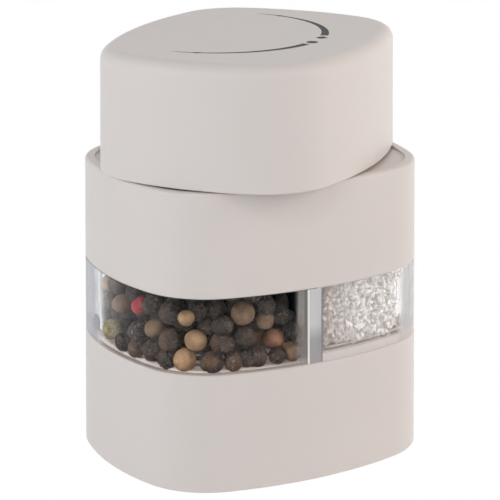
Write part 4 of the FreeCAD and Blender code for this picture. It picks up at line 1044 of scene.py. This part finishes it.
def packed_corns(sizes, spices, stage):
    """Middles, radii and kinds of the peppercorns, pushed apart until they only touch."""
    dice = np.random.default_rng(spices.seed)
    shape = Outline(sizes)
    camera, lines, shown, shown_radius, shown_kind = shown_corns(sizes, stage)
    front = len(shown)

    # Those behind the shown ones start anywhere in the chamber
    low = np.array([-sizes.body_length / 2, -sizes.body_width / 2, HOPPER_FOOT])
    high = np.array([0.0, sizes.body_width / 2, spices.heap_top])
    tries = low + dice.random((spices.corn_count * TRIES, 3)) * (high - low)
    x, y, z = tries.T
    inside = (shape.depth(x, y, sizes.chamber_inset) > START_MARGIN) & (x < -sizes.divider - START_MARGIN)
    inside &= (z < heap_surface(x, spices, True) - HEAP_CLEAR) & (z > chamber_floor(x, y, START_MARGIN))
    near = np.sqrt(((tries[:, None, :] - shown[None, :, :]) ** 2).sum(2)).min(1)
    inside &= near > START_CLEAR
    rest = tries[inside][:spices.corn_count]
    radius = spices.corn_radius * (1 + spices.corn_spread * (dice.random(len(rest)) * 2 - 1))
    plain = (np.searchsorted(PLAIN_SHARES, dice.random(len(rest))) + 0.5) / len(KINDS)
    place = np.vstack([shown, rest])
    radius = np.concatenate([shown_radius, radius])
    kind = np.concatenate([shown_kind, plain])

    # All are pushed apart, while the shown ones keep to their sight lines
    for _ in range(PUSHES):
        gap = place[:, None, :] - place[None, :, :]
        apart = np.sqrt((gap**2).sum(2)) + np.eye(len(place))
        overlap = np.maximum(radius[:, None] + radius[None, :] - apart, 0.0) * (1 - np.eye(len(place)))
        place += (gap / apart[:, :, None] * overlap[:, :, None] * PUSH_SHARE).sum(1)
        keep_inside(place, radius, sizes, spices, shape)
        along = ((place[:front] - camera) * lines).sum(1)
        place[:front] = camera + lines * along[:, None]

    # Those that would hide a shown one are left out
    seen = place[:, None, :] - camera
    reach = (seen * lines[None, :, :]).sum(2)
    aside = np.sqrt(((seen - reach[:, :, None] * lines[None, :, :]) ** 2).sum(2))
    close = aside < HIDING_SHARE * (radius[:, None] + radius[None, :front])
    hiding = (close & (reach < along[None, :] - HIDING_LEAD)).any(1)
    hiding[:front] = False
    return place[~hiding], radius[~hiding], kind[~hiding]


def point_mesh(name, places, **attributes):
    """Loose points with a number for each under every attribute's name."""
    mesh = bpy.data.meshes.new(name)
    mesh.from_pydata([tuple(place) for place in places], [], [])
    for label, numbers in attributes.items():
        layer = mesh.attributes.new(label, "FLOAT", "POINT")
        layer.data.foreach_set("value", np.asarray(numbers, dtype=np.float32))
    return mesh


# Operators


class MILL_OT_lower_casing(Operator):
    """Build the lower casing"""

    bl_idname = "mill.lower_casing"
    bl_label = "Lower Casing"

    def execute(self, context):
        sizes = context.scene.mill_sizes
        shape, skin = Outline(sizes), Skin()
        slope, seam, bevel = sizes.side_slope, sizes.seam_low, sizes.seam_bevel
        wall = slope * seam + sizes.shell_wall
        lip_top, lip_foot, lip = 5.0 * MM, 3.5 * MM, 1.6 * MM
        edge, belts = 0.25 * MM, 5
        profile = [(wall, 0.0), (wall - edge, 0.0), (sizes.foot_round + edge, 0.0)]
        profile += [(x + slope * z, z) for x, z in quarter(sizes.foot_round, ROUND_STEPS)]
        profile += [(slope * z, z) for z in (seam * step / belts for step in range(1, belts))]
        profile += [(slope * (seam - bevel * 2), seam - bevel * 2)]
        profile += [(slope * seam + bevel - x, seam - z) for x, z in reversed(quarter(bevel, BEVEL_STEPS))]
        profile += [(wall - edge, seam), (wall, seam - edge), (wall, lip_top), (wall + lip, lip_top),
                    (wall + lip, lip_foot), (wall, lip_foot), (wall, edge)]
        rings = [skin.ring(shape.points(inset), height) for inset, height in profile]
        skin.bands(rings, closed=True)
        piece = skin.finish("lower_casing", [casing_plastic(context.scene)])
        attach(piece, "base")
        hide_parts("lower_shell")
        return {"FINISHED"}


class MILL_OT_upper_casing(Operator):
    """Build the upper casing with its rim, deck and filling openings"""

    bl_idname = "mill.upper_casing"
    bl_label = "Upper Casing"

    def execute(self, context):
        sizes = context.scene.mill_sizes
        shape, skin = Outline(sizes), Skin()
        slope, seam, rim, bevel = sizes.side_slope, sizes.seam_high, sizes.rim_height, sizes.seam_bevel
        inner = slope * rim + sizes.sleeve_wall
        deck_top = rim - sizes.recess_depth
        deck_foot = deck_top - sizes.deck_thickness
        edge, eased = DECK_EDGE, DECK_EDGE * 0.3
        belts = [seam + (rim - seam) * part for part in BELTS]
        profile = [(inner, deck_foot), (inner, seam + edge), (inner - edge, seam)]
        profile += [(slope * seam + x, seam + z) for x, z in quarter(bevel, BEVEL_STEPS)]
        profile += [(slope * z, z) for z in (seam + bevel * 2, *belts)]
        side = slope * (rim - sizes.rim_round)
        profile += [(side + x, rim - z) for x, z in reversed(quarter(sizes.rim_round, ROUND_STEPS))]
        recess = slope * rim + sizes.rim_width
        profile += [(recess - 2 * edge, rim), (recess - edge, rim), (recess - eased, rim - eased),
                    (recess, rim - edge), (recess, deck_top + edge), (recess + eased, deck_top + eased),
                    (recess + edge, deck_top), (recess + 2 * edge, deck_top)]
        rings = [skin.ring(shape.points(inset), height) for inset, height in profile]
        skin.bands(rings)
        upper, lower = [rings[-1]], [rings[0]]
        for points, wider in (self.filling(sizes, 1), self.filling(sizes, -1), self.bore(sizes)):
            above = skin.ring(wider, deck_top)
            below_edge = skin.ring(points, deck_top - edge)
            below = skin.ring(points, deck_foot)
            skin.band(below_edge, above)
            skin.band(below, below_edge)
            upper.append(above)
            lower.append(below)
        skin.plate(upper, upwards=True)
        skin.plate(lower, upwards=False)
        piece = skin.finish("upper_casing", [casing_plastic(context.scene)])
        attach(piece, "base")
        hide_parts("upper_shell")
        return {"FINISHED"}

    @staticmethod
    def filling(sizes, side, steps=40):
        """Clockwise loop of one filling opening, and the same loop a little wider."""
        loops = []
        for grow in (0.0, DECK_EDGE):
            radius, edge = sizes.filling_radius + grow, sizes.filling_web - grow
            reach = math.acos(edge / radius)
            angles = [reach - 2 * reach * step / steps for step in range(steps + 1)]
            half_turn = math.pi if side < 0 else 0.0
            loops.append([(radius * math.cos(a + half_turn), radius * math.sin(a + half_turn)) for a in angles])
        return loops

    @staticmethod
    def bore(sizes, steps=48):
        """Clockwise loop of the bore in the deck's middle, and the same loop a little wider."""
        angles = [-2 * math.pi * step / steps for step in range(steps)]
        return [[(r * math.cos(a), r * math.sin(a)) for a in angles]
                for r in (sizes.deck_bore, sizes.deck_bore + DECK_EDGE)]


class MILL_OT_cap(Operator):
    """Build the turning cap with its printed turning mark"""

    bl_idname = "mill.cap"
    bl_label = "Cap"

    def execute(self, context):
        sizes, finish = context.scene.mill_sizes, context.scene.mill_finish
        shape, skin = Outline(sizes), Skin()
        slope, foot, top, turn = sizes.side_slope, sizes.cap_foot, sizes.cap_top, sizes.cap_angle
        inner = slope * top + sizes.cap_inset + sizes.cap_wall
        roof = top - sizes.cap_wall
        shoulder = top - sizes.cap_round
        edge = 0.2 * MM

        def side(height):
            return slope * height + sizes.cap_inset

        profile = [(inner, roof), (inner, foot + edge), (inner - edge, foot)]
        profile += [(side(foot) + x, foot + z) for x, z in quarter(sizes.seam_bevel, BEVEL_STEPS)]
        belts = [foot + (shoulder - foot) * part for part in BELTS]
        profile += [(side(z), z) for z in (foot + edge * 2, *belts, shoulder - edge)]
        profile += [(side(shoulder) + x, top - z) for x, z in reversed(quarter(sizes.cap_round, CAP_ROUND_STEPS))]
        profile += [(side(shoulder) + sizes.cap_round + edge, top), (side(shoulder) + sizes.cap_round + 2 * edge, top)]
        rings = [skin.ring(shape.points(inset, turn), height) for inset, height in profile]
        skin.bands(rings)
        skin.plate([rings[0]], upwards=False)
        marks = [skin.ring(turned(points, turn), top) for points in self.marks(sizes)]
        skin.plate([rings[-1], *marks], upwards=True)
        for mark in marks:
            skin.plate([mark], upwards=True, finish=1)
        inside = roof + sizes.cap_wall / 2
        skin.tube(0.0, 0.0, HUB_RADIUS, HUB_BORE, HUB_FOOT, inside)
        posts = [(x, y) for x in (-POST_PLACE, POST_PLACE) for y in (-POST_PLACE, POST_PLACE)]
        for x, y in turned(posts, turn):
            skin.tube(x, y, POST_RADIUS, POST_BORE, POST_FOOT, inside, steps=28)
        ink = shared("printed_ink", printed_ink, tuple(finish.ink))
        piece = skin.finish("turning_cap", [casing_plastic(context.scene), ink])
        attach(piece, "cap")
        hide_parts("cap_shell")
        return {"FINISHED"}

    @staticmethod
    def marks(sizes):
        """Two tapering arcs with a barb near their tips, and a disc and a lozenge between them."""
        loops = []
        middle, radius = sizes.mark_offset, sizes.mark_radius
        for start, end in MARK_ARCS:
            outer, inner = [], []
            for step in range(MARK_STEPS + 1):
                along = step / MARK_STEPS
                angle = math.radians(start + (end - start) * along)
                width = sizes.mark_width * (1 - along) ** MARK_TAPER + MARK_TIP
                width += max(0.0, 1 - abs(along - BARB_PLACE) / BARB_REACH) * BARB_WIDTH
                for loop, way in ((outer, 1), (inner, -1)):
                    reach = radius + way * width / 2
                    loop.append((reach * math.cos(angle), middle + reach * math.sin(angle)))
            loops.append(outer + inner[::-1])
        for place, reach, corners in MARK_DOTS:
            angle = math.radians(place)
            x, y = radius * math.cos(angle), middle + radius * math.sin(angle)
            turns = [angle + 2 * math.pi * corner / corners for corner in range(corners)]
            loops.append([(x + reach * math.cos(a), y + reach * math.sin(a)) for a in turns])
        return loops


class MILL_OT_container(Operator):
    """Build the clear two-chamber container"""

    bl_idname = "mill.container"
    bl_label = "Clear Container"

    def execute(self, context):
        sizes, finish = context.scene.mill_sizes, context.scene.mill_finish
        piece = smooth_copy("spice_container", "clear_container", shared(
            "clear_plastic", clear_plastic, tuple(finish.clear), tuple(finish.clear_left_shade), tuple(finish.clear_right_shade),
            tuple(finish.plate), tuple(finish.haze_shade), tuple(finish.shell)))
        piece.data.materials.append(shared(
            "frosted_plastic", frosted_plastic, tuple(finish.frost), tuple(finish.frost_warm),
            tuple(finish.frost_shade)))
        for point in piece.data.vertices:
            for seam, way in ((sizes.seam_low, 1), (sizes.seam_high, -1)):
                if 0 < way * (point.co.z - seam) < 1.2 * CAD_BEVEL:
                    point.co.z = seam + way * sizes.seam_bevel
        play = AIR_GAP / 10
        for face in piece.data.polygons:
            x, y, z = face.center
            in_gap = -sizes.divider - play < x < AIR_GAP or math.hypot(x, y) < TUBE_RADIUS + play
            behind_front = in_gap and abs(y) < PLATE_DEPTH and z > sizes.seam_low
            at_seam = min(abs(z - sizes.seam_low), abs(z - sizes.seam_high)) < sizes.seam_bevel
            if z < sizes.seam_low or at_seam or behind_front:
                face.material_index = 1
        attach(piece, "base")
        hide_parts("spice_container")
        return {"FINISHED"}


class MILL_OT_peppercorns(Operator):
    """Heap the peppercorns in the left chamber"""

    bl_idname = "mill.peppercorns"
    bl_label = "Peppercorns"

    def execute(self, context):
        scene = context.scene
        sizes, spices, finish = scene.mill_sizes, scene.mill_spices, scene.mill_finish
        places, radius, kind = packed_corns(sizes, spices, scene.mill_stage)
        dice = np.random.default_rng(spices.seed + 1)
        first, last = (KINDS.index(name) / len(KINDS) for name in ("dull", "olive"))
        smooth = (kind > first) & (kind < last)
        fold = np.where(smooth, SMOOTH_FOLD, FOLD_LEAST + FOLD_MORE * dice.random(len(places)))
        depth = Outline(sizes).depth(places[:, 0], places[:, 1], sizes.chamber_inset) - radius
        band = (places[:, 2] > sizes.seam_low) & (places[:, 2] < sizes.seam_high + FINE_ABOVE)
        points = point_mesh("corn_points", places, corn_radius=radius, corn_kind=kind, corn_fold=fold,
                            corn_fine=(band & (depth < FINE_DEPTH)).astype(float))
        tones = [tuple(getattr(finish, "pepper_" + name)) for name in KINDS]
        tree = corn_tree(shared("pepper_skin", pepper_skin, tones))
        piece = grown(points, tree, {"Wrinkle Depth": spices.corn_wrinkle, "Seed": spices.seed}, "peppercorns")
        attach(piece, "base")
        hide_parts("pepper_charge")
        return {"FINISHED"}


class MILL_OT_salt(Operator):
    """Fill the right chamber with coarse salt"""

    bl_idname = "mill.salt"
    bl_label = "Coarse Salt"

    def execute(self, context):
        sizes, spices, finish = context.scene.mill_sizes, context.scene.mill_spices, context.scene.mill_finish
        shape = Outline(sizes)
        points = self.grains(sizes, spices, shape)
        tree = crystal_tree(shared("salt_grain", salt_grain, tuple(finish.salt)))
        piece = grown(points, tree, {"Seed": spices.seed}, "coarse_salt")
        self.add_core(piece, sizes, spices, shape)
        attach(piece, "base")
        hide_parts("salt_charge")
        return {"FINISHED"}

    @staticmethod
    def grains(sizes, spices, shape):
        """Points for the crystals, in jittered rows and layers, where the window or an open cap shows them."""
        dice = np.random.default_rng(spices.seed + 2)
        pitch = spices.grain_size * GRAIN_PITCH
        tall, deep, wide = spices.heap_top - HOPPER_FOOT, sizes.body_width, sizes.body_length / 2
        rows = []
        for level in range(int(tall / (pitch * GRAIN_LAYER))):
            for row in range(int(deep / (pitch * GRAIN_ROW))):
                for step in range(int(wide / pitch)):
                    shift = 0.5 * pitch * ((row + level) % 2)
                    rows.append((step * pitch + shift, row * pitch * GRAIN_ROW - deep / 2,
                                 HOPPER_FOOT + level * pitch * GRAIN_LAYER))
        places = np.array(rows) + (dice.random((len(rows), 3)) - 0.5) * pitch * GRAIN_JITTER
        x, y, z = places.T
        grain = spices.grain_size * (GRAIN_LEAST + GRAIN_MORE * dice.random(len(places)))
        reach = grain * GRAIN_REACH
        depth = np.minimum(shape.depth(x, y, sizes.chamber_inset), x - sizes.divider) - reach
        depth = np.minimum(depth, np.hypot(x, y) - TUBE_RADIUS - reach)
        under = z - chamber_floor(x, y, 0.0) - reach
        over = heap_surface(x, spices, False) - z - reach
        inside = (depth > 0) & (under > 0) & (over > 0)
        shown = (z > CHAMBER_FLOOR) & (z < sizes.seam_high + CORE_PLAY)
        chosen = inside & ((shown & (depth < CORE_PLAY)) | (over < CORE_PLAY))
        return point_mesh("grain_points", places[chosen], grain_size=grain[chosen])

    @staticmethod
    def add_core(piece, sizes, spices, shape):
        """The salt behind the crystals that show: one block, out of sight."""
        flat = TUBE_RADIUS + CORE_PLAY / 2
        ring = [(x, y) for x, y in shape.points(sizes.chamber_inset + CORE_PLAY) if x > flat]
        skin = Skin()
        skin.bm.from_mesh(piece.data)
        lower = skin.ring(ring, CHAMBER_FLOOR + CORE_PLAY / 8)
        upper = skin.ring(ring, spices.heap_top - CORE_PLAY)
        skin.band(lower, upper)
        skin.plate([lower], upwards=False)
        skin.plate([upper], upwards=True)
        skin.bm.to_mesh(piece.data)
        skin.bm.free()


class MILL_OT_springs(Operator):
    """Build the two coil springs"""

    bl_idname = "mill.springs"
    bl_label = "Springs"

    def execute(self, context):
        steel = shared("drawn_steel", drawn_steel, tuple(context.scene.mill_finish.steel))
        for side in ("pepper", "salt"):
            node = side + "_spring"
            piece = smooth_copy(node, side + "_coil", steel)
            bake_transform(piece)
            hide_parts(node)
        return {"FINISHED"}


class MILL_OT_mechanism(Operator):
    """Give the mechanism's parts their plastics, steel and ceramic"""

    bl_idname = "mill.mechanism"
    bl_label = "Mechanism"

    def execute(self, context):
        finish = context.scene.mill_finish
        plastic = shared("mechanism_plastic", mechanism_plastic, tuple(finish.inner))
        steel = shared("drawn_steel", drawn_steel, tuple(finish.steel))
        ceramic = shared("fired_ceramic", fired_ceramic, tuple(finish.ceramic))
        metal_words = ("shaft", "clip", "screws", "stem")
        for name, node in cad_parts.items():
            if node.hide_render:
                continue
            chosen = plastic
            if any(word in name for word in metal_words):
                chosen = steel
            if "burr" in name:
                chosen = ceramic
            node.data.materials.clear()
            node.data.materials.append(chosen)
        return {"FINISHED"}


class MILL_OT_stage(Operator):
    """Set the floor, the light and the camera"""

    bl_idname = "mill.stage"
    bl_label = "Stage"

    def execute(self, context):
        scene, stage = context.scene, context.scene.mill_stage
        aim = Vector((0.0, 0.0, stage.aim))
        self.floor()
        self.sky(scene, stage.sky)
        self.lamps(aim, (stage.left_power, stage.right_power, stage.top_power))
        self.camera(scene, aim)
        scene.view_settings.view_transform = "Standard"
        return {"FINISHED"}

    @staticmethod
    def floor():
        """A wide floor just under the mill's foot."""
        mesh = bpy.data.meshes.new("floor")
        corners = [(-FLOOR_HALF, -FLOOR_HALF), (FLOOR_HALF, -FLOOR_HALF), (FLOOR_HALF, FLOOR_HALF),
                   (-FLOOR_HALF, FLOOR_HALF)]
        mesh.from_pydata([(x, y, -FLOOR_DROP) for x, y in corners], [], [(0, 1, 2, 3)])
        mesh.materials.append(shared("studio_floor", studio_floor))
        link("floor", mesh)

    @staticmethod
    def sky(scene, strength):
        """White where the camera, a gloss or clear plastic sees it; as light, softer from above than from aside."""
        scene.world = bpy.data.worlds.new("studio")
        scene.world.use_nodes = True
        graph = Graph(scene.world.node_tree)
        graph.nodes.clear()
        direction = graph.nodes.new("ShaderNodeTexCoord").outputs["Generated"]
        height = graph.add("ShaderNodeSeparateXYZ", Vector=direction).outputs["Z"]
        fading = graph.fade(height, 0.0, 1.0, strength, strength * SKY_ABOVE)
        light = graph.add("ShaderNodeBackground", Color=WHITE, Strength=fading)
        white = graph.add("ShaderNodeBackground", Color=WHITE, Strength=1.0)
        surface = graph.nodes.new("ShaderNodeOutputWorld").inputs["Surface"]
        graph.mix(graph.seen(), light.outputs["Background"], white.outputs["Background"], surface)

    @staticmethod
    def lamps(aim, powers):
        """Square lamps that don't show in the gloss, turned to what the camera looks at."""
        for (name, place, size, tone), power in zip(LAMPS, powers):
            data = bpy.data.lights.new(name, "AREA")
            data.shape = "SQUARE"
            data.size = size
            data.energy = power
            data.color = tone
            lamp = link(name, data)
            lamp.visible_glossy = False
            lamp.location = place
            lamp.rotation_euler = (aim - Vector(place)).to_track_quat("-Z", "Y").to_euler()

    @staticmethod
    def camera(scene, aim):
        """The camera where the photograph was taken from."""
        stage = scene.mill_stage
        data = bpy.data.cameras.new("camera")
        data.lens = stage.lens
        data.sensor_width = SENSOR
        data.clip_start = 0.01
        data.clip_end = 20.0
        camera = link("camera", data)
        back, right = (Vector(axis) for axis in camera_axes(stage))
        camera.location = aim + right * CAMERA_ASIDE + back * stage.distance
        camera.rotation_euler = (-back).to_track_quat("-Z", "Y").to_euler()
        scene.camera = camera


STEPS = (
    MILL_OT_lower_casing,
    MILL_OT_upper_casing,
    MILL_OT_cap,
    MILL_OT_container,
    MILL_OT_peppercorns,
    MILL_OT_salt,
    MILL_OT_springs,
    MILL_OT_mechanism,
    MILL_OT_stage,
)
GROUPS = {"mill_sizes": MillSizes, "mill_finish": MillFinish, "mill_spices": MillSpices, "mill_stage": MillStage}


class MILL_PT_panel(Panel):
    """The mill's sizes, colours and steps"""

    bl_idname = "MILL_PT_panel"
    bl_label = "Twin Mill"
    bl_space_type = "VIEW_3D"
    bl_region_type = "UI"
    bl_category = "Mill"

    def draw(self, context):
        layout, scene = self.layout, context.scene
        for title, group in (("Sizes", scene.mill_sizes), ("Finish", scene.mill_finish),
                             ("Spices", scene.mill_spices), ("Stage", scene.mill_stage)):
            box = layout.box()
            box.label(text=title)
            for name in group.__annotations__:
                box.prop(group, name)
        for step in STEPS:
            layout.operator(step.bl_idname)


CLASSES = (*GROUPS.values(), *STEPS, MILL_PT_panel)


def register():
    for item in CLASSES:
        bpy.utils.register_class(item)
    for name, group in GROUPS.items():
        setattr(bpy.types.Scene, name, PointerProperty(type=group))


def unregister():
    for name in GROUPS:
        delattr(bpy.types.Scene, name)
    for item in reversed(CLASSES):
        bpy.utils.unregister_class(item)


def main():
    """Runs the steps in order."""
    register()
    bpy.ops.mill.lower_casing()
    bpy.ops.mill.upper_casing()
    bpy.ops.mill.cap()
    bpy.ops.mill.container()
    bpy.ops.mill.peppercorns()
    bpy.ops.mill.salt()
    bpy.ops.mill.springs()
    bpy.ops.mill.mechanism()
    bpy.ops.mill.stage()


if __name__ == "__main__":
    main()
